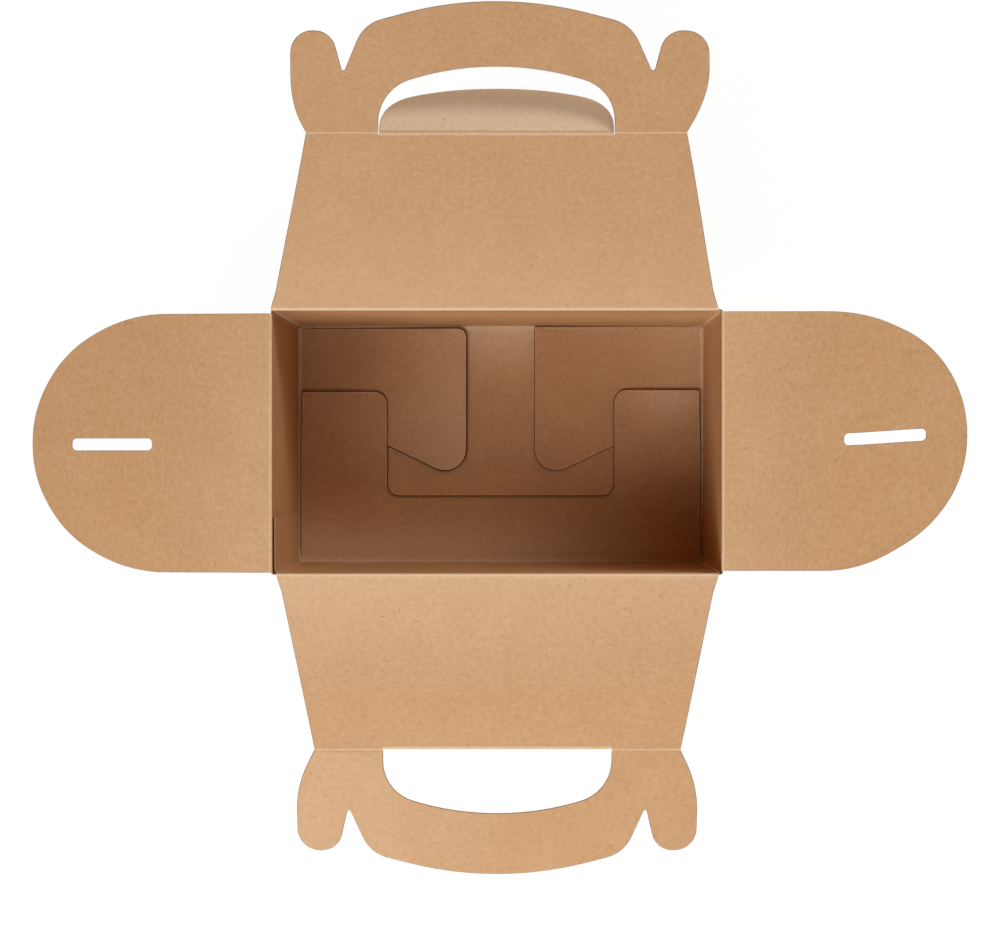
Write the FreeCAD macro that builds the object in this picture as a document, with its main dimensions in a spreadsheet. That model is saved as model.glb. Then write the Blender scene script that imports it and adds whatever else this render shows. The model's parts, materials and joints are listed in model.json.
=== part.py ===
import FreeCAD, Part
import math
import os
import Sketcher

"""Gable box of kraft board, standing open with its lid spread out.

One sheet of board is folded into four walls with a glued corner tab, a
self-locking bottom and a lid. The lid is two slotted side flaps and two roof
panels, and each roof panel carries a handle with a hand hole and its tab.

Frame: millimetres, +Z up, X along the long walls, +Y towards the back wall.
The origin is the centre of the base, on the face that the box stands on.

A fold that moves turns about a line on the outer face of the board. Each lid
piece is drawn flat, with its fold along local X, its length along local Y and
its inner face up, and is then placed at the slope at which it rests.
"""

# Driving lengths: name, value in millimetres, meaning.
LENGTHS = [
    ("board", 0.45, "thickness of the board"),
    ("box_length", 158.4, "outside of the walls along X"),
    ("box_width", 93.1, "outside of the walls along Y"),
    ("wall_height", 89, "height of the lid folds above the table"),
    ("corner_round", 0.9, "outside radius of the four upright folds"),
    ("fold_gap", 0.08, "clearance between a wall top and the lid's folds"),
    ("layer_gap", 0.05, "clearance between interlocked bottom flaps"),
    ("cut_gap", 0.2, "clearance along a die-cut line"),
    ("flap_reach", 85.2, "side flap, from its fold to its rounded end"),
    ("flap_width", 90.8, "side flap, along its fold"),
    ("flap_end_inset", 1.2, "half width less the radius of the side flap's end"),
    ("slot_start", 42.3, "slot, from the side flap's fold to its near end"),
    ("slot_reach", 29.2, "slot, along the side flap"),
    ("slot_width", 4.7, "slot, across the side flap"),
    ("slot_round", 1.5, "radius in the slot's corners"),
    ("roof_reach", 62.2, "roof panel, from its fold to the handle's fold"),
    ("roof_fold_width", 155.4, "roof panel, along the wall's fold"),
    ("roof_crest_width", 130.2, "roof panel, along the handle's fold"),
    ("crest_gap", 0.1, "clearance between a roof panel and its handle"),
    ("handle_rise", 45.2, "handle, from its fold to its top"),
    ("handle_top_width", 90, "handle's strip, between its top corners"),
    ("handle_corner_round", 6, "radius on the top corners of the handle's strip"),
    ("ear_span", 142, "handle, across both ears"),
    ("ear_rise", 36.6, "handle, from its fold to the tips of the ears"),
    ("notch_rise", 20.6, "handle, from its fold to the bottom of a notch"),
    ("notch_span", 105.2, "handle, between the bottoms of both notches"),
    ("hole_width", 80.6, "hand hole, along the handle's fold"),
    ("hole_rise", 23.1, "hand hole, from the handle's fold to its top"),
    ("hole_round", 15, "radius in the hand hole's corners"),
    ("tab_inset", 0.5, "fold of the hand-hole tab, back from the handle's fold"),
    ("tab_slack", 0.6, "length left off the hand-hole tab so that it turns freely"),
    ("glue_width", 20.3, "glue tab, from the front wall to its free end"),
    ("glue_top_drop", 4.5, "glue tab's top below the lid folds at its free end"),
    ("glue_taper", 2.7, "how far the glue tab's ends slant across its width"),
    ("lock_ramp", 4, "length over which a side bottom flap climbs one layer"),
    ("front_ramp", 7, "length over which the front bottom flap climbs two layers"),
    ("lock_gap", 26, "space between the two side bottom flaps"),
    ("lock_back_gap", 0.9, "clearance of a side bottom flap from the back wall"),
    ("lock_point", 62, "from the back wall's outside to where a side bottom flap's edges meet"),
    ("lock_point_round", 8.5, "radius on that flap's point"),
    ("lock_waist", 47.2, "from the back wall's outside to that flap's edge at the recess"),
    ("lock_heel", 79.5, "from the back wall's outside to that flap's end at its fold"),
    ("recess_width", 87.4, "recess in the front bottom flap that the tongue fills"),
    ("recess_floor", 62, "from the back wall's outside to the floor of the recess"),
    ("recess_round", 5.2, "radius where the recess opens between the shoulders"),
    ("shoulder_start", 26, "from the back wall's outside to the front flap's shoulders"),
    ("tongue_ramp", 4.3, "length over which the tongue climbs three layers"),
    ("tongue_reach", 66.7, "from the back wall's outside to the tongue's end"),
    ("tongue_round", 4.7, "radius on the tongue's corners"),
    ("tongue_half_gap", 0.2, "clearance at each side of the tongue in its recess"),
    ("back_flap_inset", 6.2, "back bottom flap's side, in from the side wall"),
    ("back_flap_reach", 40, "from the back wall's outside to the tongue's root"),
    ("front_flap_inset", 1.5, "front bottom flap's side, in from the side wall's outside"),
    ("soft_corner", 2, "radius on the other free corners of the bottom flaps"),
]

# Driving angles: name, value in degrees, meaning.
ANGLES = [
    ("closed_lean", 48.5, "bevel of a roof panel's fold, for its lean inwards when shut"),
    ("flap_lean", 6, "bevel of a side flap's fold, for its lean inwards when shut"),
    ("tilt_back", 18.8, "slope of the back roof panel at rest, up from level"),
    ("tilt_front", -6.3, "slope of the front roof panel at rest"),
    ("tilt_left", -4.9, "slope of the left side flap at rest"),
    ("tilt_right", 0.9, "slope of the right side flap at rest"),
    ("drop_back", 58, "angle of the back hand-hole tab below its roof panel"),
    ("drop_front", 100, "angle of the front hand-hole tab below its roof panel"),
    ("handle_crown", 14, "slope of the handle's top edge beside its corners"),
    ("hole_crown", 15, "slope of the hand hole's edge beside its corners"),
]

FOLD_OVERLAP = 0.2          # how far a bottom flap runs into the wall that carries it
END_TURN = 30               # degrees that a side flap's outline turns at each end corner
SIDE_SOFTNESS = 1.1         # first corner's radius as a share of the side flap's half width
END_SOFTNESS = 0.95         # next corners' radius as a share of the end's radius
CROWN_SHARE = 2.3           # crown radius as a share of the half width below it
EAR_BEND_SHARE = 0.42       # height of the bend in an ear's outer edge, as a share of its rise
EAR_SOFTNESS = 0.6          # radius of that bend as a share of half the ears' span
EAR_BEND_ROOM = 0.53        # most of the height below that bend that its curve may take
EAR_TIP_ROOM = 0.6          # most of the height above that bend that the tip's curve may take
EAR_INNER_LEAN = 0.1        # lean of an ear's inner edge as a share of the ear's width
EAR_TIP_SHARE = 0.36        # radius of an ear's inner corner as a share of its width
EAR_SIDE_SHARE = 0.5        # radius of an ear's outer corner as a share of its width


class Length:
    """A length with its value and the sheet expression that gives it."""

    def __init__(self, text, value):
        self.text = text
        self.value = value

    def _with(self, other, sign, value):
        text = other.text if isinstance(other, Length) else repr(float(other))
        return Length(f"({self.text} {sign} {text})", value)

    def __add__(self, other):
        return self._with(other, "+", self.value + number(other))

    def __sub__(self, other):
        return self._with(other, "-", self.value - number(other))

    def __mul__(self, other):
        return self._with(other, "*", self.value * number(other))

    def __truediv__(self, other):
        return self._with(other, "/", self.value / number(other))

    def __neg__(self):
        return Length(f"(-1 * {self.text})", -self.value)


ZERO = Length("0", 0.0)


def number(item):
    """The value of a Length or of a plain number."""
    return item.value if isinstance(item, Length) else float(item)


def cosine(angle):
    """Cosine of an angle in degrees, as a Length without a unit."""
    return Length(f"cos({angle.text})", math.cos(math.radians(angle.value)))


def sine(angle):
    """Sine of an angle in degrees, as a Length without a unit."""
    return Length(f"sin({angle.text})", math.sin(math.radians(angle.value)))


def tangent(angle):
    """Tangent of an angle in degrees, as a Length without a unit."""
    return Length(f"tan({angle.text})", math.tan(math.radians(angle.value)))


def least(first, second):
    """The smaller of two lengths."""
    return Length(f"min({first.text}; {second.text})", min(first.value, second.value))


def slant(across, along):
    """The straight length of an edge that runs across and along."""
    return Length(f"hypot({across.text}; {along.text})", math.hypot(across.value, along.value))


def widest_bend(out, up, room):
    """The largest radius at which an edge that runs out and up can turn straight up,
    if the curve may take room off each of the two edges."""
    return room * (slant(out, up) + up) / Length(f"abs({out.text})", abs(out.value))


def fill_sheet(doc):
    """Write the driving lengths and angles to the sheet and return them by name."""
    sheet = doc.addObject("Spreadsheet::Sheet", "Sizes")
    sizes = {}
    for row, (name, value, meaning) in enumerate(LENGTHS + ANGLES, start=1):
        sheet.set(f"A{row}", meaning)
        sheet.set(f"B{row}", str(value))
        sheet.setAlias(f"B{row}", name)
        sizes[name] = Length(f"Sizes.{name}", float(value))
    doc.recompute()
    return sizes


# ---- sketches and solids -----------------------------------------------------

PLANES = {
    "XY": FreeCAD.Rotation(),
    "XZ": FreeCAD.Rotation(FreeCAD.Vector(1, 0, 0), 90),
    "YZ": FreeCAD.Rotation(FreeCAD.Vector(1, 1, 1), 120),
}


class Drawing:
    """A sketch in the making: its geometry and its constraints, each with its expression."""

    def __init__(self, sketch):
        self.sketch = sketch
        self.rules = []

    def rule(self, *parts, size=None):
        """Note a constraint. size is the Length that drives it, if one does."""
        value = () if size is None else (number(size),)
        self.rules.append((Sketcher.Constraint(*parts, *value), size))

    def finish(self):
        """Add all constraints at once and tie the driven ones to the sheet."""
        rows = self.sketch.addConstraint([constraint for constraint, _ in self.rules])
        for row, (_, size) in zip(rows, self.rules):
            if size is not None:
                self.sketch.setExpression(f"Constraints[{row}]", size.text)


def place_corner(drawing, corner):
    """Add a reference point at a corner, held by the sheet, and return its index."""
    across, along = corner[0], corner[1]
    spot = FreeCAD.Vector(number(across), number(along), 0)
    point = drawing.sketch.addGeometry(Part.Point(spot), True)
    for kind, size, axis in (("DistanceX", across, -2), ("DistanceY", along, -1)):
        if number(size) == 0:
            drawing.rule("PointOnObject", point, 1, axis)
        else:
            drawing.rule(kind, point, 1, size=size)
    return point


def trimmed_edges(corners):
    """Where each straight edge starts and ends once the corners are rounded."""
    count = len(corners)
    spots = [FreeCAD.Vector(number(c[0]), number(c[1]), 0) for c in corners]
    trims = []
    for i, corner in enumerate(corners):
        before = (spots[i] - spots[i - 1]).normalize()
        after = (spots[(i + 1) % count] - spots[i]).normalize()
        turn = before.getAngle(after)
        trims.append(number(corner[2]) * math.tan(turn / 2) if len(corner) > 2 else 0.0)
    edges = []
    for i in range(count):
        start, end = spots[i], spots[(i + 1) % count]
        along = (end - start).normalize()
        edges.append((start + along * trims[i], end - along * trims[(i + 1) % count]))
    return spots, edges


def corner_arc(spot, start, end, radius):
    """The arc of a rounded corner and which of its ends meet the edges before and after."""
    inward = ((start + end) / 2 - spot).normalize()
    half_turn = (start - spot).getAngle(inward)
    centre = spot + inward * (radius / math.sin(half_turn))
    # an arc runs anticlockwise, so its ends swap where the outline turns clockwise
    clockwise = (spot - start).cross(end - spot).z < 0
    first, last = (end, start) if clockwise else (start, end)
    angles = [math.atan2(point.y - centre.y, point.x - centre.x) for point in (first, last)]
    circle = Part.Circle(centre, FreeCAD.Vector(0, 0, 1), radius)
    return Part.ArcOfCircle(circle, *angles), (2, 1) if clockwise else (1, 2)


def add_outline(drawing, corners):
    """Draw a closed outline. A corner is (across, along) or (across, along, radius)."""
    count = len(corners)
    spots, edges = trimmed_edges(corners)
    sketch = drawing.sketch
    lines = [sketch.addGeometry(Part.LineSegment(*edge)) for edge in edges]
    points = [place_corner(drawing, corner) for corner in corners]
    for i in range(count):
        for point in (points[i], points[(i + 1) % count]):
            drawing.rule("PointOnObject", point, 1, lines[i])
    for i, corner in enumerate(corners):
        before, after = lines[i - 1], lines[i]
        if len(corner) == 2:
            drawing.rule("Coincident", before, 2, after, 1)
            continue
        start, end = edges[i - 1][1], edges[i][0]
        shape, (first, last) = corner_arc(spots[i], start, end, number(corner[2]))
        arc = sketch.addGeometry(shape)
        drawing.rule("Tangent", before, 2, arc, first)
        drawing.rule("Tangent", arc, last, after, 1)
        drawing.rule("Radius", arc, size=corner[2])


def prism(doc, name, plane, outlines, depth, symmetric=False):
    """Extrude outlines drawn on a plane, away from it or half to each side."""
    sketch = doc.addObject("Sketcher::SketchObject", name + "Sketch")
    sketch.Placement = FreeCAD.Placement(FreeCAD.Vector(), PLANES[plane])
    drawing = Drawing(sketch)
    for corners in outlines:
        add_outline(drawing, corners)
    drawing.finish()
    solid = doc.addObject("Part::Extrusion", name)
    solid.Base = sketch
    solid.DirMode = "Normal"
    solid.Solid = True
    solid.Symmetric = symmetric
    solid.setExpression("LengthFwd", depth.text)
    return solid


def common(doc, name, first, second):
    """What two prisms share: an outline cut from a folded section."""
    solid = doc.addObject("Part::MultiCommon", name)
    solid.Shapes = [first, second]
    return solid


def rectangle(half_across, near, far):
    """A rectangle from near to far, as wide as twice half_across."""
    return [(-half_across, near), (half_across, near), (half_across, far), (-half_across, far)]


# ---- the carton: walls, glue tab and bottom ----------------------------------


def walls(doc, s):
    """The four walls as one folded tube, open above and below."""
    inner_round = s["corner_round"] - s["board"]
    outlines = []
    for inset, radius in ((ZERO, s["corner_round"]), (s["board"], inner_round)):
        half_length = s["box_length"] / 2 - inset
        half_width = s["box_width"] / 2 - inset
        outlines.append([corner + (radius,)
                         for corner in rectangle(half_length, -half_width, half_width)])
    return prism(doc, "Walls", "XY", outlines, s["wall_height"] - s["fold_gap"])


def glue_tab(doc, s):
    """The tab of the front wall, glued flat inside the left wall and tapered."""
    front = -(s["box_width"] / 2) + FOLD_OVERLAP
    free_end = front + s["glue_width"]
    top = s["wall_height"] - s["glue_top_drop"]
    foot = s["glue_taper"]
    outline = [(front, foot), (free_end, foot * 2), (free_end, top), (front, top - foot)]
    tab = prism(doc, "GlueTab", "YZ", [outline], s["board"] + s["layer_gap"])
    inside = -(s["box_length"] / 2) + s["board"] - s["layer_gap"]
    tab.Base.setExpression("Placement.Base.x", inside.text)
    return tab


def climbing_section(start, ramp_start, ramp_end, end, rise, board):
    """Section of a flap that leaves its fold flat, climbs by rise and runs on flat."""
    under = [(start, ZERO), (ramp_start, ZERO), (ramp_end, rise), (end, rise)]
    over = [(across, lift + board) for across, lift in reversed(under)]
    return under + over


def flipped(corners):
    """The mirror image of an outline, listed the same way round."""
    return [(-corner[0],) + corner[1:] for corner in reversed(corners)]


def mirrored(corners):
    """An outline's right half and its mirror image, as one closed outline."""
    return corners + flipped(corners)


def lock_tip(s):
    """From the back wall's outside to the end of a side bottom flap's rounded point."""
    across = s["recess_width"] / 2 + s["cut_gap"] * 2 - s["lock_gap"] / 2
    along = s["lock_point"] - s["lock_waist"]
    edge = slant(across, along)
    return s["lock_point"] - s["lock_point_round"] * ((along + edge) / across - 1)


def back_bottom_flap(doc, s):
    """The last flap to be folded: its tongue climbs over the front flap and locks it."""
    back = s["box_width"] / 2
    climb_start = back - lock_tip(s) - s["layer_gap"] * 10
    climb_end = climb_start - s["tongue_ramp"]
    end = back - s["tongue_reach"]
    rise = (s["board"] + s["layer_gap"]) * 3
    section = climbing_section(
        back - FOLD_OVERLAP, climb_start, climb_end, end - FOLD_OVERLAP, rise, s["board"])
    side = s["box_length"] / 2 - s["back_flap_inset"]
    tongue = s["recess_width"] / 2 - s["tongue_half_gap"]
    root = back - s["back_flap_reach"]
    outline = mirrored([
        (tongue, end, s["tongue_round"]), (tongue, root, s["soft_corner"]),
        (side, (back + root) / 2), (side, back)])
    folded = prism(doc, "BackBottomSection", "YZ", [section], s["box_length"], symmetric=True)
    cut = prism(doc, "BackBottomOutline", "XY", [outline], s["wall_height"])
    return common(doc, "BackBottomFlap", folded, cut)


def side_bottom_flap(doc, s, side, name):
    """A side flap: one layer up, its point held down by the tongue and the front flap."""
    wall = s["box_length"] / 2
    back = s["box_width"] / 2
    rise = s["board"] + s["layer_gap"]
    root = wall - FOLD_OVERLAP
    climb_start = wall - s["board"]
    climb_end = climb_start - s["lock_ramp"]
    inner = s["lock_gap"] / 2
    section = climbing_section(
        root, climb_start, climb_end, inner - FOLD_OVERLAP, rise, s["board"])
    near = back - s["board"] - s["lock_back_gap"]
    recess = s["recess_width"] / 2 + s["cut_gap"] * 2
    soft = s["soft_corner"]
    outline = [
        (root, near), (inner, near, soft),
        (inner, back - s["lock_point"], s["lock_point_round"]),
        (recess, back - s["lock_waist"], soft), (root, back - s["lock_heel"]),
    ]
    if side < 0:
        section, outline = flipped(section), flipped(outline)
    folded = prism(doc, name + "Section", "XZ", [section], s["box_width"], symmetric=True)
    cut = prism(doc, name + "Outline", "XY", [outline], s["wall_height"])
    return common(doc, name, folded, cut)


def front_bottom_flap(doc, s):
    """The front flap: two layers up, with a recess that the tongue drops into."""
    back = s["box_width"] / 2
    front = -back
    rise = (s["board"] + s["layer_gap"]) * 2
    shoulder = back - s["shoulder_start"]
    climb_start = front + s["board"]
    climb_end = climb_start + s["front_ramp"]
    section = climbing_section(
        front + FOLD_OVERLAP, climb_start, climb_end, shoulder + FOLD_OVERLAP, rise, s["board"])
    side = s["box_length"] / 2 - s["front_flap_inset"]
    recess = s["recess_width"] / 2
    outline = mirrored([
        (side, front), (side, shoulder, s["soft_corner"]),
        (recess, shoulder, s["recess_round"]), (recess, back - s["recess_floor"])])
    folded = prism(doc, "FrontBottomSection", "YZ", [section], s["box_length"], symmetric=True)
    cut = prism(doc, "FrontBottomOutline", "XY", [outline], s["wall_height"])
    return common(doc, "FrontBottomFlap", folded, cut)


def carton(doc, s):
    """Walls, glue tab and the interlocked bottom, one solid as one sheet is."""
    body = doc.addObject("Part::MultiFuse", "Carton")
    body.Label = "carton"
    body.Shapes = [
        walls(doc, s),
        glue_tab(doc, s),
        back_bottom_flap(doc, s),
        side_bottom_flap(doc, s, -1, "LeftBottomFlap"),
        side_bottom_flap(doc, s, 1, "RightBottomFlap"),
        front_bottom_flap(doc, s),
    ]
    return body


# ---- lid pieces, drawn flat --------------------------------------------------


def fold_side(s, side):
    """A wall's outward direction, its distance from the middle and its lid's yaw."""
    return {
        "back": ((0, 1), s["box_width"] / 2, 0),
        "front": ((0, -1), s["box_width"] / 2, 180),
        "left": ((-1, 0), s["box_length"] / 2, 90),
        "right": ((1, 0), s["box_length"] / 2, -90),
    }[side]


def place_piece(piece, s, side, along, slope, turn):
    """Place a lid piece at a distance along its panel, turned up from level."""
    direction, wall, yaw = fold_side(s, side)
    outward = wall + along * cosine(slope)
    height = s["wall_height"] + along * sine(slope)
    x, y = ((outward * sign).text for sign in direction)
    piece.setExpression(
        "Placement",
        f"placement(vector({x}; {y}; {height.text}); rotation({yaw}; 0; {turn.text}))")


def bevelled_panel(doc, s, name, outlines, reach, lean):
    """A lid panel whose inner edge is cut back at its fold so that it can lean in."""
    section = [
        (ZERO, ZERO), (reach, ZERO), (reach, s["board"]), (tangent(lean) * s["board"], s["board"])]
    folded = prism(doc, name + "Section", "YZ", [section], s["box_length"], symmetric=True)
    cut = prism(doc, name + "Outline", "XY", outlines, s["board"])
    return common(doc, name, folded, cut)


def side_flap(doc, s, side):
    """A side flap with a rounded end and the slot that takes the handles' ears."""
    half = s["flap_width"] / 2
    reach = s["flap_reach"]
    radius = half - s["flap_end_inset"]
    centre = reach - radius
    turn = math.radians(END_TURN)
    first = centre + (radius - half * math.cos(turn)) / math.sin(turn)
    diagonal = radius * (math.sqrt(0.5) / math.cos(turn / 2))
    outline = mirrored([
        (half, ZERO),
        (half, first, half * SIDE_SOFTNESS),
        (diagonal, centre + diagonal, radius * END_SOFTNESS),
        (radius * math.tan(turn / 2), reach, radius * END_SOFTNESS),
    ])
    slot_end = s["slot_start"] + s["slot_reach"]
    slot = [corner + (s["slot_round"],)
            for corner in rectangle(s["slot_width"] / 2, s["slot_start"], slot_end)]
    piece = bevelled_panel(
        doc, s, side.capitalize() + "SideFlap", [outline, slot], reach, s["flap_lean"])
    piece.Label = side + "_side_flap"
    slope = s["tilt_" + side]
    place_piece(piece, s, side, ZERO, slope, slope)
    return piece


def roof_panel(doc, s, side):
    """A roof panel, tapered towards the handle's fold, let in there for the tab's fold."""
    crest = s["roof_reach"] - s["crest_gap"] / 2
    tab_fold = crest - s["tab_inset"]
    cut = s["hole_width"] / 2
    outline = mirrored([
        (s["roof_fold_width"] / 2, ZERO), (s["roof_crest_width"] / 2, crest),
        (cut, crest), (cut, tab_fold)])
    piece = bevelled_panel(
        doc, s, side.capitalize() + "RoofPanel", [outline], crest, s["closed_lean"])
    piece.Label = side + "_roof_panel"
    slope = s["tilt_" + side]
    place_piece(piece, s, side, ZERO, slope, slope)
    return piece


def crowned_edge(half, rise, crown, corner_radius):
    """Right half of a softly crowned top edge: its corner, then the top of the crown."""
    radius = half * CROWN_SHARE
    peak = rise + radius / cosine(crown) - radius
    return [(half, peak - half * tangent(crown), corner_radius), (ZERO, peak, radius)]


def across_top(edge):
    """A crowned edge from its right corner over the crown to its left corner."""
    return edge + flipped(edge[:1])


def handle(doc, s, side):
    """A handle: an arch round the hand hole, with a notched ear at each end."""
    foot = s["crest_gap"] / 2
    ear = s["ear_span"] / 2
    notch = s["notch_span"] / 2
    ear_width = ear - notch
    crest = s["roof_crest_width"] / 2
    bend = s["ear_rise"] * EAR_BEND_SHARE
    bend_radius = least(
        ear * EAR_SOFTNESS, widest_bend(ear - crest, bend - foot, bend * EAR_BEND_ROOM))
    tip_radius = least(ear_width * EAR_SIDE_SHARE, (s["ear_rise"] - bend) * EAR_TIP_ROOM)
    right = [
        (crest, foot),
        (ear, bend, bend_radius),
        (ear, s["ear_rise"], tip_radius),
        (notch + ear_width * EAR_INNER_LEAN, s["ear_rise"], ear_width * EAR_TIP_SHARE),
        (notch, s["notch_rise"], s["board"] * 1.5),
    ]
    top = across_top(crowned_edge(
        s["handle_top_width"] / 2, s["handle_rise"], s["handle_crown"],
        s["handle_corner_round"]))
    hole = across_top(crowned_edge(
        s["hole_width"] / 2, s["hole_rise"], s["hole_crown"], s["hole_round"]))
    hole_side = s["hole_width"] / 2
    arch = right + top + flipped(right) + [(-hole_side, foot)] + hole[::-1] + [(hole_side, foot)]
    piece = prism(doc, side.capitalize() + "Handle", "XY", [arch], s["board"])
    piece.Label = side + "_handle"
    slope = s["tilt_" + side]
    place_piece(piece, s, side, s["roof_reach"], slope, slope)
    return piece


def hand_hole_tab(doc, s, side):
    """The piece cut from the hand hole, still held at the top of the roof panel."""
    half = s["hole_width"] / 2 - s["cut_gap"]
    foot = s["crest_gap"] / 2
    rise = s["hole_rise"] + s["tab_inset"] - s["tab_slack"]
    edge = across_top(crowned_edge(half, rise, s["hole_crown"], s["hole_round"]))
    outline = [(half, foot)] + edge + [(-half, foot)]
    piece = prism(doc, side.capitalize() + "HandHoleTab", "XY", [outline], s["board"])
    piece.Label = side + "_hand_hole_tab"
    slope = s["tilt_" + side]
    along = s["roof_reach"] - s["tab_inset"]
    place_piece(piece, s, side, along, slope, slope - s["drop_" + side])
    return piece


# ---- build and write ---------------------------------------------------------


def check(doc, pieces):
    """Stop if anything failed to build, or if a piece isn't one valid solid."""
    for item in doc.Objects:
        if any(flag in item.State for flag in ("Invalid", "Error")):
            raise RuntimeError(f"{item.Label} failed: {item.State}")
    for piece in pieces:
        shape = piece.Shape
        if shape.isNull() or not shape.isValid() or len(shape.Solids) != 1:
            raise RuntimeError(f"{piece.Label} isn't one valid solid")


def main():
    doc = FreeCAD.newDocument("GableBox")
    s = fill_sheet(doc)
    pieces = [carton(doc, s)]
    for side in ("left", "right"):
        pieces.append(side_flap(doc, s, side))
    for side in ("back", "front"):
        pieces += [roof_panel(doc, s, side), handle(doc, s, side), hand_hole_tab(doc, s, side)]
    doc.recompute()
    check(doc, pieces)
    os.makedirs("parts", exist_ok=True)
    for piece in pieces:
        piece.Shape.exportStep(f"parts/{piece.Label}.step")
        box = piece.Shape.BoundBox
        print(f"{piece.Label}: {piece.Shape.Volume:.0f} mm3, z {box.ZMin:.2f} to {box.ZMax:.2f}")


main()
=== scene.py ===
"""Gable box of kraft board, standing open with its lid spread out.

Every piece is a sheet of folding boxboard. It is drawn flat, as the die cuts it,
and then laid on its panel with the slight curl that board keeps after folding.
"""

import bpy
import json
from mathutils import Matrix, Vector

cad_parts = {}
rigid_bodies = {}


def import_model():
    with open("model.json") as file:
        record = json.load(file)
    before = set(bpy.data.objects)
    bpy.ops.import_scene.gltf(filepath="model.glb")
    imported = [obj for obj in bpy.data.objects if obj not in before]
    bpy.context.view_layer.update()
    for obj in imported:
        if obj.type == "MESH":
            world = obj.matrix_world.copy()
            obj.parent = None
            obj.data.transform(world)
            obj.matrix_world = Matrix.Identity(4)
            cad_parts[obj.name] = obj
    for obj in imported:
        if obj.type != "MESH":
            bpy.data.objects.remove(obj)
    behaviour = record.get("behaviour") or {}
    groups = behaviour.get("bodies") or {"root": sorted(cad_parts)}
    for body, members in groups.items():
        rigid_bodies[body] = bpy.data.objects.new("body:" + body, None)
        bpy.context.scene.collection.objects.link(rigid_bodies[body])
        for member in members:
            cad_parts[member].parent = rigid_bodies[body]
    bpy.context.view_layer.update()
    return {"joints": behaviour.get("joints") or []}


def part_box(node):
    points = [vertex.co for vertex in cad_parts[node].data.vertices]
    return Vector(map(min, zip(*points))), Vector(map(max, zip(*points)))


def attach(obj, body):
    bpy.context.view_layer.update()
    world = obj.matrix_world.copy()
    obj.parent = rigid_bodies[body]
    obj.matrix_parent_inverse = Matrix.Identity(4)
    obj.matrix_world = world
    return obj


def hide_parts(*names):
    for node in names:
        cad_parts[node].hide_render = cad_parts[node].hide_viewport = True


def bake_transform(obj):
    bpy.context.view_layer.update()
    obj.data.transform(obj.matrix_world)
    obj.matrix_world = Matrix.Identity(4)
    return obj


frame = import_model()

import copy
import json
import math

import bpy
import numpy as np
from bpy.props import (FloatProperty, FloatVectorProperty, IntProperty, PointerProperty,
                       StringProperty)
from bpy.types import Operator, Panel, PropertyGroup
from mathutils import Vector, noise
from mathutils.geometry import delaunay_2d_cdt

bl_info = {
    "name": "Gable Box",
    "version": (1, 0, 0),
    "blender": (4, 5, 0),
    "location": "View3D > Sidebar > Gable Box",
    "description": "Builds an open gable box of kraft board, with its creases and finish",
    "category": "Add Mesh",
}

JOINTS = {joint["name"]: joint for joint in frame["joints"]}
CARTON_LOW, CARTON_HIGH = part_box("carton")
CARTON, CARTON_TOP = CARTON_HIGH - CARTON_LOW, CARTON_HIGH.z
SHEET_UV = "Sheet"          # UV map: metres along the fold and away from it
# the crease attribute also paints highlight and sheen on the faces, and shade on the cut
# edges
CREASE = "crease"           # attribute: 1 on a crease, 0 on flat board
CLEAR = "clear"             # attribute: 0 on a cut edge, 1 away from it


# ---- settings ------------------------------------------------------------------------


def length(name, description, millimetres):
    """A length property, stored in metres."""
    return FloatProperty(name=name, description=description, default=millimetres / 1000,
                         unit="LENGTH", subtype="DISTANCE", precision=5)


def angle(name, description, degrees):
    """An angle property, stored in radians."""
    return FloatProperty(name=name, description=description, default=math.radians(degrees),
                         unit="ROTATION", subtype="ANGLE")


def colour(name, description, value):
    """A colour property, written as an sRGB hex value."""
    return StringProperty(name=name, description=description, default=value)


class GableBoxSizes(PropertyGroup):
    """Sizes of the board, the carton and the lid."""
    board: length("Board", "Thickness of the board", 0.45)
    box_length: length("Box length", "Outside of the walls along X", CARTON.x * 1000)
    box_width: length("Box width", "Outside of the walls along Y", CARTON.y * 1000)
    wall_top: length("Wall height", "Top of the walls above the table", CARTON_TOP * 1000)
    corner_round: length("Corner radius", "Outside radius of the upright folds", 0.9)
    flap_reach: length("Side flap reach", "Side flap, from its fold to its end", 85.2)
    flap_width: length("Side flap width", "Side flap, along its fold", 90.8)
    slot_start: length("Slot start", "From the side flap's fold to the slot", 42.3)
    slot_reach: length("Slot reach", "Slot, along the side flap", 28.5)
    slot_width: length("Slot width", "Slot, across the side flap", 4.2)
    slot_round: length("Slot radius", "Radius in the slot's corners", 1.5)
    roof_reach: length("Roof reach", "Roof panel, from its fold to the handle", 62.2)
    roof_fold_width: length("Roof width", "Roof panel, along the wall", 155.4)
    roof_crest_width: length("Crest width", "Roof panel, along the handle's fold", 130.2)
    handle_rise: length("Handle rise", "Handle, from its fold to its top", 45.2)
    handle_top_width: length("Handle width", "Handle's strip, between its corners", 90)
    ear_span: length("Ear span", "Handle, across both ears", 142)
    ear_rise: length("Ear rise", "From the handle's fold to the ears' tips", 36.6)
    notch_span: length("Notch span", "Handle, between its two notches", 105.2)
    notch_rise: length("Notch rise", "From the handle's fold to a notch", 20.6)
    hole_width: length("Hole width", "Hand hole, along the handle's fold", 80.6)
    hole_rise: length("Hole rise", "Hand hole, from the fold to its top", 23.1)
    tab_inset: length("Tab inset", "Tab's fold, back from the handle's fold", 0.5)


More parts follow.
